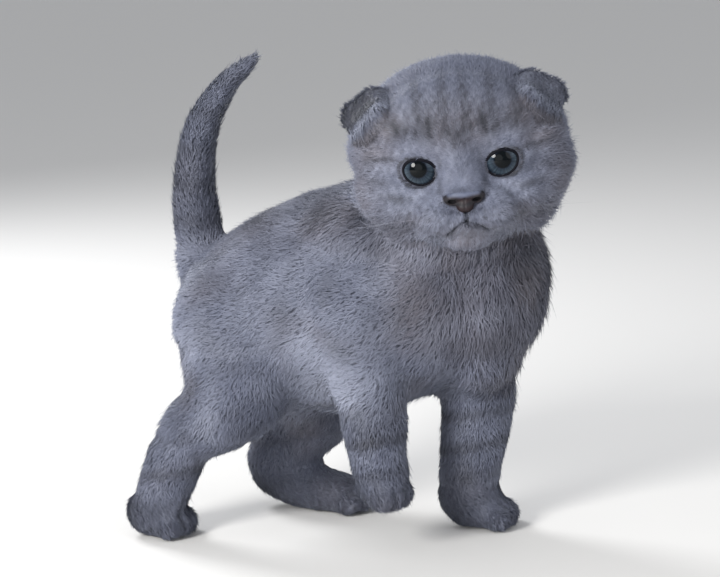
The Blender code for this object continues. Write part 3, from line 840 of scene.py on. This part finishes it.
def makeEye(sign, name, node):
    centre, right, up, gaze = eyeFrame(sign)
    look = Matrix.Rotation(math.radians(eyeShape["gazeOut"]) * sign, 3, up)
    look = Matrix.Rotation(-math.radians(eyeShape["gazeUp"]), 3, right) @ look
    turn = (look @ Matrix((right, up, gaze)).transposed()).to_4x4()
    bm = bmesh.new()
    bmesh.ops.create_uvsphere(bm, u_segments=64, v_segments=40, radius=eyeShape["radius"] * mm)
    layer = bm.loops.layers.uv.new("EyeUV")
    for vert in bm.verts:
        # the cornea bulges a little
        out = math.hypot(vert.co.x, vert.co.y) / (eyeShape["iris"] * mm)
        if vert.co.z > 0:
            vert.co += vert.co.normalized() * eyeShape["cornea"] * mm * max(0.0, 1.0 - out * out)
    for face in bm.faces:
        for loop in face.loops:
            flat = loop.vert.co / (2 * eyeShape["radius"] * mm)
            loop[layer].uv = (flat.x + 0.5, flat.y + 0.5)
            if loop.vert.co.z < 0:  # the back of the ball is white
                loop[layer].uv = (0.99, 0.5)
    bm.transform(Matrix.Translation(centre) @ turn)
    piece = newObject(name, bm, [eyeMaterial(name)])
    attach(piece, "root")
    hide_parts(node)


def ringAt(bm, point, run, aside, radius, sides):
    # edges of a circle across the path
    turn = Matrix((-run.cross(aside), aside, run)).transposed().to_4x4()
    made = bmesh.ops.create_circle(bm, radius=radius, segments=sides, matrix=Matrix.Translation(point) @ turn)
    verts = set(made["verts"])
    return list({edge for vert in verts for edge in vert.link_edges if edge.other_vert(vert) in verts})


def tubeAlong(bm, path, radii, sides, closed):
    # circles along the path, each bridged to the next; an open tube is filled at both ends
    rings = []
    last = len(path) - 1
    for i, point in enumerate(path):
        before = path[i - 1] if (i or closed) else point
        after = path[(i + 1) % len(path)] if (i < last or closed) else point
        run = (after - before).normalized()
        aside = aside - run * aside.dot(run) if i else run.orthogonal()
        aside.normalize()
        rings.append(ringAt(bm, point, run, aside, radii[i], sides))
    pairs = list(zip(rings[:-1], rings[1:])) + ([(rings[-1], rings[0])] if closed else [])
    for first, second in pairs:
        bmesh.ops.bridge_loops(bm, edges=first + second)
    if not closed:
        bmesh.ops.edgeloop_fill(bm, edges=rings[0])
        bmesh.ops.edgeloop_fill(bm, edges=rings[-1])


lidShape = {
    "points": 72, "sides": 10, "thin": 0.40, "upper": 0.20, "above": 0.12,
    "corner": 0.14, "cornerOut": 0.9, "cornerDrop": 0.5,
}


def makeLids():
    # dark rims of the lids, thicker above, drawn to a point at the inner corner
    material, *_ = newMaterial(
        "lid rim", Base_Color=(*eyeColours["lid"], 1.0), Roughness=0.55, Specular_IOR_Level=0.08)
    bm = bmesh.new()
    width, height = eyeShape["opening"]
    for sign in (1, -1):
        centre, right, up, gaze = eyeFrame(sign)
        outward = right * sign
        path, radii = [], []
        for k in range(lidShape["points"]):
            angle = 2 * math.pi * k / lidShape["points"]
            side, rise = width * math.cos(angle), height * math.sin(angle)
            corner = max(0.0, -math.cos(angle)) ** 14  # inner corner
            rise *= eyeShape["flatTop"] if rise > 0 else 1.0
            side -= lidShape["cornerOut"] * corner
            rise += eyeShape["tilt"] * side - lidShape["cornerDrop"] * corner
            reach = math.hypot(side, rise)
            ahead = math.sqrt(max(eyeShape["radius"] ** 2 - reach * reach, 1.0)) + lidShape["above"]
            path.append(centre + (outward * side + up * rise + gaze * ahead) * mm)
            upper = max(0.0, math.sin(angle))
            radii.append((lidShape["thin"] + lidShape["upper"] * upper + lidShape["corner"] * corner) * mm)
        if sign < 0:
            path, radii = path[::-1], radii[::-1]
        tubeAlong(bm, path, radii, lidShape["sides"], True)
    bmesh.ops.recalc_face_normals(bm, faces=bm.faces)
    piece = newObject("lid_rims", bm, [material])
    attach(piece, "root")


noseShape = {
    "grain": 3200.0, "bump": 0.10, "voxel": 0.22, "proud": 0.15, "sunk": 1.5,
    "nostril": (0.135, -0.262), "nostrilSize": (0.075, 0.036),
    "slit": ((0.02, -0.310), (0.09, -0.290), (0.15, -0.265), (0.185, -0.205)),
    "slitWidth": 0.026, "slitDepth": 0.25, "cleftWidth": 0.012, "cleftDepth": 0.15,
}
# the nostril colour is painted shade, laid in the nostrils, the slits of the wings and the cleft
noseColours = {
    "velvet": (0.088, 0.100, 0.148), "leather": (0.016, 0.008, 0.010), "nostril": (0.012, 0.011, 0.014),
}


def makeNose():
    # the leather of the nose, from its solid, with a fine grain and pinkish-brown below
    material, nodes, links, shader = newMaterial("nose leather", Roughness=0.55, Specular_IOR_Level=0.3)
    low = attributeOutput(nodes, "low")
    dark = attributeOutput(nodes, "marking")
    colour = mixColours(nodes, links, low, noseColours["velvet"], noseColours["leather"])
    colour = mixColours(nodes, links, dark, colour, noseColours["nostril"])
    links.new(colour, shader.inputs["Base Color"])
    grain = nodes.new("ShaderNodeTexVoronoi")
    place = nodes.new("ShaderNodeTexCoord")
    grain.inputs["Scale"].default_value = noseShape["grain"]
    links.new(place.outputs["Object"], grain.inputs["Vector"])
    bump = nodes.new("ShaderNodeBump")
    bump.inputs["Strength"].default_value = 0.35
    bump.inputs["Distance"].default_value = noseShape["bump"] * mm
    links.new(grain.outputs["Distance"], bump.inputs["Height"])
    links.new(bump.outputs["Normal"], shader.inputs["Normal"])
    piece = newObject("nose_pad", solidCopy("nose"), [material])
    remeshed(piece, noseShape["voxel"])
    mesh = piece.data
    points = relaxed(vertexArray(mesh), edgeArray(mesh), 5, 0.5)
    high = smoothStep(-0.24, -0.12, headShares(points)[:, 2])
    points = points + high[:, None] * (relaxed(points, edgeArray(mesh), 30, 0.5) - points)
    moveVertices(mesh, points)
    points = points + normalArray(mesh) * ((noseShape["proud"] - noseShape["sunk"] * high) * mm)[:, None]
    shares = headShares(points)
    face = shares[:, (0, 2)]
    dark = np.zeros(len(points))
    for sign in (1, -1):
        away = (face - np.array(noseShape["nostril"]) * (sign, 1)) / np.array(noseShape["nostrilSize"])
        # painted shade in each nostril
        nostrilShade = np.exp(-np.sum(away ** 4, axis=1))
        # the wing's slit runs outward and up from the nostril, with painted shade along it
        slit = lineDistance(face, [(s * sign, u) for s, u in noseShape["slit"]])
        slit = np.exp(-((slit / noseShape["slitWidth"]) ** 2)) * (shares[:, 1] > 0.80)
        dark = np.maximum(dark, np.maximum(nostrilShade, slit))
        points = points - normalArray(mesh) * (noseShape["slitDepth"] * mm * slit)[:, None]
    cleft = np.exp(-((shares[:, 0] / noseShape["cleftWidth"]) ** 2)) * (shares[:, 2] < -0.24)
    points = points - normalArray(mesh) * (noseShape["cleftDepth"] * mm * cleft)[:, None]
    # painted shade in the cleft
    dark = np.maximum(dark, 0.5 * cleft)
    moveVertices(mesh, points)
    setAttribute(mesh, "marking", np.clip(dark, 0, 1))
    setAttribute(mesh, "low", smoothStep(-0.21, -0.26, shares[:, 2] - 0.10 * np.abs(shares[:, 0])))
    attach(piece, "root")
    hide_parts("nose")


# the ear from its inner to its outer column, each of root, back, crest of the fold and tip;
# in shares, on the cat's left
earColumns = (
    ((0.50, 0.08, 0.62), (0.61, 0.11, 0.745), (0.62, 0.29, 0.675), (0.56, 0.40, 0.59)),
    ((0.62, 0.00, 0.56), (0.76, 0.05, 0.70), (0.71, 0.38, 0.605), (0.63, 0.49, 0.50)),
    ((0.72, -0.06, 0.45), (0.90, -0.01, 0.61), (0.81, 0.40, 0.52), (0.74, 0.50, 0.38)),
    ((0.80, -0.12, 0.32), (1.02, -0.05, 0.52), (0.91, 0.31, 0.41), (0.86, 0.42, 0.29)),
    ((0.84, -0.18, 0.20), (1.04, -0.04, 0.36), (1.00, 0.15, 0.32), (0.98, 0.25, 0.25)),
)
# the hollow is dark in the right ear, partly the ear's darker back and partly painted shade, and painted pale
# in the left as painted light where the lamps leave it in shade
earShape = {
    "wall": 1.0, "across": 30, "along": 36, "hollow": 0.045, "voxel": 0.42,
    "rootDeeper": 0.35, "endDeeper": 0.10,
    "dark": {1: 0.0, -1: 0.75}, "pale": {1: 0.40, -1: 0.0},
}


def curvePoint(points, t):
    # a smooth line through a few points; t runs from 0 to 1
    last = len(points) - 1
    place = min(max(t, 0.0), 1.0) * last
    i = min(int(place), last - 1)
    f = place - i
    a, b = Vector(points[i]), Vector(points[i + 1])
    before = Vector(points[i - 1]) if i > 0 else a * 2 - b
    after = Vector(points[i + 2]) if i + 2 <= last else b * 2 - a
    return 0.5 * (2 * a + (b - before) * f + (2 * before - 5 * a + 4 * b - after) * f * f
                  + (3 * a - before - 3 * b + after) * f ** 3)


def makeEar(sign, name, node):
    # a sheet that climbs to the back of the ear, dips into a hollow and folds over a crest down to the tip
    bm = bmesh.new()
    bmesh.ops.create_grid(bm, x_segments=earShape["across"], y_segments=earShape["along"], size=1.0)
    sheet = []
    for vert in bm.verts:
        u, v = vert.co.x * 0.5 + 0.5, vert.co.y * 0.5 + 0.5
        line = [curvePoint([column[k] for column in earColumns], u) for k in range(4)]
        line[0] = line[0] + (line[0] - line[1]) * earShape["rootDeeper"]  # so that no edge shows
        place = curvePoint(line, v) * (1 - earShape["endDeeper"] * float(1 - smoothStep(0.0, 0.28, u)))
        dip = math.exp(-((v - 0.50) / 0.10) ** 2) * max(0.0, math.sin(math.pi * min(u * 1.3 - 0.2, 1.0)))
        place -= Vector((0.55, 0.45, 0.70)) * earShape["hollow"] * dip
        vert.co = onHead(place.x * sign, place.y, place.z)
        sheet.append((vert.co.copy(), u, v))
    bmesh.ops.recalc_face_normals(bm, faces=bm.faces)
    away = sum((face.normal.dot(face.calc_center_median() - Vector(head.translation)) for face in bm.faces))
    if away < 0:
        bmesh.ops.reverse_faces(bm, faces=bm.faces)
    bmesh.ops.solidify(bm, geom=bm.faces[:], thickness=earShape["wall"] * mm)
    piece = newObject(name, bm, [coatMaterial(name + " skin", onSkin=True)])
    remeshed(piece, earShape["voxel"])
    mesh = piece.data
    points = relaxed(vertexArray(mesh), edgeArray(mesh), 4, 0.5)
    moveVertices(mesh, points)
    tree = KDTree(len(sheet))
    for i, (place, u, v) in enumerate(sheet):
        tree.insert(place, i)
    tree.balance()
    nearest = [sheet[tree.find(point)[1]] for point in points]
    outer = relaxed(np.array([u for place, u, v in nearest]), edgeArray(mesh), 3)
    fold = relaxed(np.array([v for place, u, v in nearest]), edgeArray(mesh), 3)
    paintCoat(mesh, *earShadeAndMarking(fold, outer, sign))
    setAttribute(mesh, "fold", fold)
    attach(piece, "root")
    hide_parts(node)
    return piece


def earShadeAndMarking(fold, outer, sign):
    # dark in the hollow behind the crest, partly the ear's darker back and partly painted shade; a painted
    # highlight along the crest; and the head's own grey on the flap
    hollow = smoothStep(0.28, 0.38, fold) * (1 - smoothStep(0.57, 0.63, fold)) * smoothStep(0.02, 0.40, outer)
    crest = np.exp(-(((fold - 0.67) / 0.045) ** 2)) * smoothStep(0.0, 0.2, outer)
    flap = smoothStep(0.72, 0.85, fold)
    dark = 0.10 + earShape["dark"][sign] * hollow + 0.20 * flap - 0.10 * crest
    pale = 0.85 * crest + earShape["pale"][sign] * hollow
    return np.clip(dark, 0, 1), np.clip(pale, 0, 1), np.clip(0.85 * flap + 0.2 * hollow, 0, 1)


whiskerShape = {"thick": 0.032, "count": 9, "longest": 24.0, "points": 12, "sides": 5}
browShape = {"count": 4, "long": 11.0, "points": 10, "sides": 4}


def makeWhiskers():
    material, *_ = newMaterial(
        "whisker", Base_Color=(0.26, 0.27, 0.32, 1.0), Roughness=0.5, Specular_IOR_Level=0.5)
    bm = bmesh.new()
    random = np.random.default_rng(11)
    turn = head.to_3x3()
    for sign in (1, -1):
        for k in range(whiskerShape["count"]):
            row, step = divmod(k, 4)
            root = onHead((0.20 + 0.07 * step) * sign, 0.90 - 0.055 * step, -0.37 - 0.065 * row)
            rise = 0.22 - 0.26 * row + random.uniform(-0.08, 0.08)
            run = (turn @ Vector((-sign * (0.75 + 0.1 * step), 0.05 - 0.12 * step, rise))).normalized()
            back = (turn @ Vector((-sign * 0.15, -1.0, -0.25))).normalized()
            long = whiskerShape["longest"] * (0.62 + 0.12 * step + random.uniform(-0.08, 0.08)) * mm
            path, radii = [], []
            for n in range(whiskerShape["points"]):
                t = n / (whiskerShape["points"] - 1)
                path.append(root + run * long * t + back * long * (0.25 * t + 0.50 * t * t))
                radii.append(whiskerShape["thick"] * (1 - 0.93 * t) * mm)
            tubeAlong(bm, path, radii, whiskerShape["sides"], False)
        for k in range(browShape["count"]):
            root = onHead((0.30 + 0.07 * k) * sign, 0.66 - 0.05 * k, 0.27 + 0.015 * k)
            run = (turn @ Vector((-sign * (0.25 + 0.2 * k), 0.45, 0.9))).normalized()
            back = (turn @ Vector((0.0, -1.0, 0.1))).normalized()
            path, radii = [], []
            for n in range(browShape["points"]):
                t = n / (browShape["points"] - 1)
                path.append(root + (run * t + back * 0.7 * t * t) * browShape["long"] * mm)
                radii.append(whiskerShape["thick"] * (1 - 0.9 * t) * mm)
            tubeAlong(bm, path, radii, browShape["sides"], False)
    bmesh.ops.recalc_face_normals(bm, faces=bm.faces)
    piece = newObject("whiskers", bm, [material])
    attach(piece, "root")


tuftShape = {
    "width": 0.34, "faceWidth": 0.24, "patch": 0.003, "sink": 0.3, "count": 228000,
    "bend": 22.0, "stray": 0.22, "silver": 0.42, "perPiece": 32000, "clump": 0.07,
    "mottle": 0.05, "faceMottle": 0.24, "pawMottle": 0.15,
    "guard": 0.06, "guardLong": 1.4, "guardThin": 0.6, "knee": 0.42, "flat": 0.6, "belly": 0.58,
}
tuftAlong = (0.0, 0.7, 0.7, 0.7, 1.0)  # how far from root to tip each vertex of a tuft is coloured


def triangleArrays(mesh):
    # corners of the mesh's triangles, and their places in the map
    mesh.calc_loop_triangles()
    count = len(mesh.loop_triangles)
    corners = np.empty(count * 3, np.int32)
    mesh.loop_triangles.foreach_get("vertices", corners)
    loops = np.empty(count * 3, np.int32)
    mesh.loop_triangles.foreach_get("loops", loops)
    flat = np.empty(len(mesh.loops) * 2, np.float32)
    mesh.uv_layers["OFBake"].data.foreach_get("uv", flat)
    return corners.reshape(count, 3), flat.reshape(-1, 2)[loops].reshape(count, 3, 2)


def growTufts(random, count, points, normals, triangles, uv, values, weight):
    # roots spread over the triangles by area and weight, with everything that they need from the skin
    corner = points[triangles]
    area = np.linalg.norm(np.cross(corner[:, 1] - corner[:, 0], corner[:, 2] - corner[:, 0]), axis=1) / 2
    share = area * weight[triangles].mean(axis=1)
    share = np.cumsum(share) / share.sum()
    chosen = np.searchsorted(share, random.random(count))
    chosen = np.minimum(chosen, len(triangles) - 1)
    a, b = random.random((2, count))
    fold = a + b > 1
    a, b = np.where(fold, 1 - a, a), np.where(fold, 1 - b, b)
    mix = np.stack((1 - a - b, a, b), axis=1)

    def blend(array):
        held = array[triangles[chosen]]
        return np.einsum("ij,ij...->i...", mix, held) if held.ndim == 3 else (mix * held).sum(axis=1)

    roots = {"place": blend(points), "normal": unit(blend(normals))}
    roots["uv"] = np.einsum("ij,ijk->ik", mix, uv[chosen])
    for name, array in values.items():
        roots[name] = blend(array)
    return roots


def tuftPiece(name, random, roots, material):
    # each tuft is a closed spindle of three sides: a root in the skin, a ring where it is widest and a tip
    count = len(roots["place"])
    normal = roots["normal"]
    stray = random.normal(0, tuftShape["stray"], (count, 3))
    lie = across(roots["lie"] + stray + roots["clump"], normal)
    side = np.cross(lie, normal)
    long = roots["length"] * mm * random.uniform(0.75, 1.2, count)
    rise = roots["depth"] * mm * random.uniform(0.75, 1.15, count)
    reach = np.clip(rise / np.maximum(long, 1e-6), 0.06, 0.86)
    lift = np.arcsin(reach)
    bend = np.radians(tuftShape["bend"])
    first = np.minimum(lift + bend * 0.7, 1.4) + random.normal(0, 0.08, count)
    second = np.maximum(lift - bend * 0.5, 0.03) + random.normal(0, 0.08, count)
    wide = roots["wide"] * mm * random.uniform(0.7, 1.3, count)
    # a few longer, thinner and prouder hairs among them
    guard = random.random(count) < tuftShape["guard"]
    long = np.where(guard, long * tuftShape["guardLong"], long)
    wide = np.where(guard, wide * tuftShape["guardThin"], wide)

    def step(angle):
        return lie * np.cos(angle)[:, None] + normal * np.sin(angle)[:, None]

    root = roots["place"] - normal * (tuftShape["sink"] * mm)
    middle = root + step(first) * (long * tuftShape["knee"])[:, None]
    tip = middle + step(second) * (long * (1 - tuftShape["knee"]))[:, None]
    tip = tip + side * (random.normal(0, 0.12, count) * long)[:, None]
    verts = np.empty((count, 5, 3))
    verts[:, 0] = root
    for k in range(3):
        angle = 2 * math.pi * k / 3 - math.pi / 2
        corner = side * math.cos(angle) + normal * (math.sin(angle) * tuftShape["flat"])
        verts[:, 1 + k] = middle + corner * wide[:, None] * tuftShape["belly"]
    verts[:, 4] = tip
    verts[:, :, 2] = np.maximum(verts[:, :, 2], 0.1 * mm)
    faces = []
    for k in range(3):
        n = (k + 1) % 3
        faces += [(0, 1 + n, 1 + k), (1 + k, 1 + n, 4)]
    faces = np.array(faces, np.int32)
    # turned so that the faces look outward
    a, b, c = (verts[0, faces[0][k]] for k in range(3))
    if np.dot(np.cross(b - a, c - a), (a + b + c) / 3 - verts[0].mean(axis=0)) < 0:
        faces = faces[:, ::-1]
    every = (faces[None] + (np.arange(count) * 5)[:, None, None]).reshape(-1, 3)
    mesh = bpy.data.meshes.new(name)
    mesh.vertices.add(count * 5)
    mesh.vertices.foreach_set("co", verts.reshape(-1))
    mesh.loops.add(len(every) * 3)
    mesh.loops.foreach_set("vertex_index", every.reshape(-1))
    mesh.polygons.add(len(every))
    mesh.polygons.foreach_set("loop_start", np.arange(len(every), dtype=np.int32) * 3)
    mesh.polygons.foreach_set("use_smooth", np.zeros(len(every), bool))
    mesh.update(calc_edges=True)
    for key in ("marking", "paleness", "warmth"):
        setAttribute(mesh, key, np.repeat(roots[key], 5))
    silver = random.random(count) ** 2.5 * tuftShape["silver"] * (1 - 0.8 * roots["marking"])
    setAttribute(mesh, "vary", np.repeat(silver, 5))
    setAttribute(mesh, "along", np.tile(np.array(tuftAlong), count))
    layer = mesh.uv_layers.new(name="OFBake")
    spot = random.uniform(-0.5, 0.5, (1, 5, 2)) * tuftShape["patch"]
    place = (roots["uv"][:, None, :] + spot).reshape(-1, 2)
    layer.data.foreach_set("uv", np.clip(place[every.reshape(-1)], 0.001, 0.999).astype(np.float32).ravel())
    mesh.materials.append(material)
    piece = bpy.data.objects.new(name, mesh)
    bpy.context.scene.collection.objects.link(piece)
    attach(piece, "root")


def slowWaves(points, random, low, high):
    # a smooth random field with waves between two lengths in millimetres, mostly from -1 to 1
    field = np.zeros(len(points))
    for _ in range(12):
        wave = random.normal(0, 1, 3)
        wave = wave / np.linalg.norm(wave) * 2 * math.pi / (random.uniform(low, high) * mm)
        field += np.sin(points @ wave + random.uniform(0, 2 * math.pi)) * random.normal(0, 0.32)
    return field


def clumpField(points, random):
    # a slow random sway that gathers neighbouring hairs the same way
    return tuftShape["clump"] * np.stack([slowWaves(points, random, 6.0, 16.0) * 3 for _ in range(3)], axis=1)


def addStreaks(roots, streaks):
    # locks a little paler or darker than their neighbours
    roots["paleness"] = np.clip(roots["paleness"] + np.maximum(streaks, 0), 0, 1)
    roots["marking"] = np.clip(roots["marking"] + np.maximum(-streaks, 0), 0, 1)


def makeCoat(body, owner, length, depth, lie):
    random = np.random.default_rng(5)
    mesh = body.data
    points, normals = vertexArray(mesh), normalArray(mesh)
    triangles, uv = triangleArrays(mesh)
    shares = headShares(points)
    onFace = fleshMask(owner, faceNodes)
    front = onFace * smoothStep(0.1, 0.5, shares[:, 1])
    wide = tuftShape["width"] * (1 - 0.25 * onFace)
    wide = wide - (tuftShape["width"] * 0.75 - tuftShape["faceWidth"]) * front
    paws = fleshMask(owner, pawPlaces)
    legs = fleshMask(owner, legNodes)
    wide = wide * (1 - 0.25 * paws)
    weight = 1.0 / np.maximum(length * wide, 0.25)
    bridge = bridgeOf(shares)
    wide = wide * (1 - 0.25 * bridge)
    weight = weight * (1 + 0.5 * onFace) * (1 + 1.2 * bridge)
    bare = np.zeros(len(points))
    for sign in (1, -1):
        share, ahead = eyeRadius(points, sign)[1:]
        bare = np.maximum(bare, (share < 1.10) * (ahead > 0) * 1.0)
    # the top of the nose is velvet, the leather below it is bare
    leather = fleshMask(owner, ("nose",)) * smoothStep(-0.19, -0.24, shares[:, 2])
    bare = np.maximum(bare, np.maximum(leather, leatherOf(shares)))
    bare = np.maximum(bare, fleshMask(owner, eyeNodes))
    for line in mouthLines:
        near = lineDistance(shares[:, (0, 2)], line) * headPose["half"]
        bare = np.maximum(bare, (near < 0.40) * (shares[:, 1] > 0.55) * 0.8)
    under = (points[:, 2] < 1.2 * mm) * 1.0
    weight = weight * (1 - np.maximum(bare, under))
    clump = clumpField(points, random)
    mottle = tuftShape["mottle"] + (tuftShape["faceMottle"] - tuftShape["mottle"]) * front * (1 - bridge)
    mottle = mottle + tuftShape["pawMottle"] * (paws + 0.5 * legs)
    values = {"length": length, "depth": depth, "lie": lie, "wide": wide, "clump": clump, "mottle": mottle}
    values.update(paintOf(mesh))
    roots = growTufts(random, tuftShape["count"], points, normals, triangles, uv, values, weight)
    addStreaks(roots, roots["mottle"] * slowWaves(roots["place"], random, 1.6, 4.0))
    material = coatMaterial("coat hair")
    # pieces in bands from the head to the hind feet, each below 200,000 triangles
    order = np.argsort(np.linalg.norm(roots["place"] - np.array(head.translation), axis=1), kind="stable")
    size = tuftShape["perPiece"]
    for number, start in enumerate(range(0, len(order), size)):
        part = {key: value[order[start:start + size]] for key, value in roots.items()}
        tuftPiece("coat_" + str(number + 1), random, part, material)
    return random


earTufts = {"count": 8000, "length": 2.1, "depth": 0.8, "width": 0.24, "mottle": 0.16}


def makeEarCoat(ear, name, random, sign):
    unwrap(ear, 0.01)
    mesh = ear.data
    points, normals = vertexArray(mesh), normalArray(mesh)
    triangles, uv = triangleArrays(mesh)
    # the hair runs over the crest towards the tip
    middle = earColumns[2]
    root, back, crest, tip = (np.array(onHead(p[0] * sign, p[1], p[2])) for p in middle)
    fold = readAttribute(mesh, "fold")
    rising = 1 - smoothStep(0.28, 0.38, fold)
    falling = smoothStep(0.60, 0.72, fold)
    steps = [unit((b - a)[None])[0] for a, b in ((root, back), (back, crest), (crest, tip))]
    shares = np.stack((rising, 1 - rising - falling, falling), axis=1)
    lie = shares @ np.array(steps)
    lie = across(lie, normals)
    count = len(points)
    crestHair = np.exp(-(((fold - 0.66) / 0.06) ** 2))
    rim = np.exp(-(((fold - 0.32) / 0.07) ** 2))
    hairLength = earTufts["length"] + 0.9 * crestHair + 1.2 * falling + 0.7 * rim
    hairDepth = earTufts["depth"] + 0.3 * (crestHair + rim)
    values = {"length": hairLength, "lie": lie, "depth": hairDepth,
              "wide": np.full(count, earTufts["width"]), "clump": clumpField(points, random)}
    values.update(paintOf(mesh))
    roots = growTufts(random, earTufts["count"], points, normals, triangles, uv, values, np.ones(count))
    addStreaks(roots, earTufts["mottle"] * slowWaves(roots["place"], random, 1.4, 4.0))
    tuftPiece(name, random, roots, coatMaterial(name))


cameraPlace = {
    "azimuth": -62.0, "elevation": 8.5, "distance": 800.0, "roll": -2.0, "target": (-0.9, 7.4, 76.0),
    "lens": 129.87, "shift": (0.0278, 0.0021),
}


def makeCamera():
    az, el = math.radians(cameraPlace["azimuth"]), math.radians(cameraPlace["elevation"])
    target = Vector(cameraPlace["target"]) * mm
    back = Vector((math.sin(az) * math.cos(el), -math.cos(az) * math.cos(el), math.sin(el)))
    right = Vector((math.cos(az), math.sin(az), 0.0))
    up = back.cross(right)
    r = math.radians(cameraPlace["roll"])
    right, up = right * math.cos(r) + up * math.sin(r), up * math.cos(r) - right * math.sin(r)
    data = bpy.data.cameras.new("camera")
    data.sensor_width = 36.0
    data.lens = cameraPlace["lens"]
    data.shift_x, data.shift_y = cameraPlace["shift"]
    data.clip_start = 0.01
    camera = bpy.data.objects.new("camera", data)
    camera.matrix_world = (Matrix.Translation(target + back * cameraPlace["distance"] * mm)
                           @ Matrix((right, up, back)).transposed().to_4x4())
    bpy.context.scene.collection.objects.link(camera)
    bpy.context.scene.camera = camera
    return right, back


# each light's place in metres towards the camera, to the right and up, then its size, power and colour
studioLights = {
    "key": ((0.66, -0.50, 0.36), 0.30, 9.0, (1.0, 0.99, 0.97)),
    "front": ((1.1, -0.2, 0.20), 0.8, 2.2, (0.98, 0.99, 1.0)),
    "fill": ((0.9, 1.1, 0.7), 1.2, 6.0, (0.96, 0.97, 1.0)),
    "rim": ((-0.6, -0.45, 0.55), 0.35, 5.0, (0.97, 0.98, 1.0)),
}
studio = {
    "aim": (0, 0, 0.08), "floor": (0.78, 0.77, 0.75), "floorDrop": 0.0002,
    "air": (0.86, 0.88, 0.92), "glow": 0.55,
}


def makeLight(name, place, size, power, colour):
    data = bpy.data.lights.new(name, "AREA")
    data.shape = "DISK"
    data.size = size
    data.energy = power
    data.color = colour
    light = bpy.data.objects.new(name, data)
    light.location = place
    light.rotation_euler = (Vector(studio["aim"]) - place).to_track_quat("-Z", "Y").to_euler()
    bpy.context.scene.collection.objects.link(light)


def makeStage(right, back):
    bm = bmesh.new()
    bmesh.ops.create_grid(bm, x_segments=1, y_segments=1, size=25.0)
    material, *_ = newMaterial("studio floor", Base_Color=(*studio["floor"], 1.0), Roughness=0.7)
    floor = newObject("floor", bm, [material])
    floor.location = (0, 0, -studio["floorDrop"])
    level = Vector((back.x, back.y, 0)).normalized()
    for name, (place, *look) in studioLights.items():
        ahead, aside, high = place
        makeLight(name, level * ahead + right * aside + Vector((0, 0, high)), *look)
    world = bpy.data.worlds.new("studio")
    world.use_nodes = True
    background = world.node_tree.nodes["Background"]
    background.inputs["Color"].default_value = (*studio["air"], 1.0)
    background.inputs["Strength"].default_value = studio["glow"]
    bpy.context.scene.world = world
    bpy.context.scene.view_settings.view_transform = "Standard"


body, owner, length, depth, lie = makeSkin()
print("skin", len(body.data.polygons))
unwrap(body, 0.002)
print("unwrapped")
for sign, side in ((1, "left"), (-1, "right")):
    makeEye(sign, side + "_eyeball", "eye_" + side)
makeLids()
makeNose()
ears = [makeEar(sign, side + "_ear_flap", "ear_" + side) for sign, side in ((1, "left"), (-1, "right"))]
makeWhiskers()
print("face pieces")
random = makeCoat(body, owner, length, depth, lie)
for ear, sign, side in zip(ears, (1, -1), ("left", "right")):
    makeEarCoat(ear, side + "_ear_coat", random, sign)
print("coat")
right, back = makeCamera()
makeStage(right, back)
print("camera and stage")
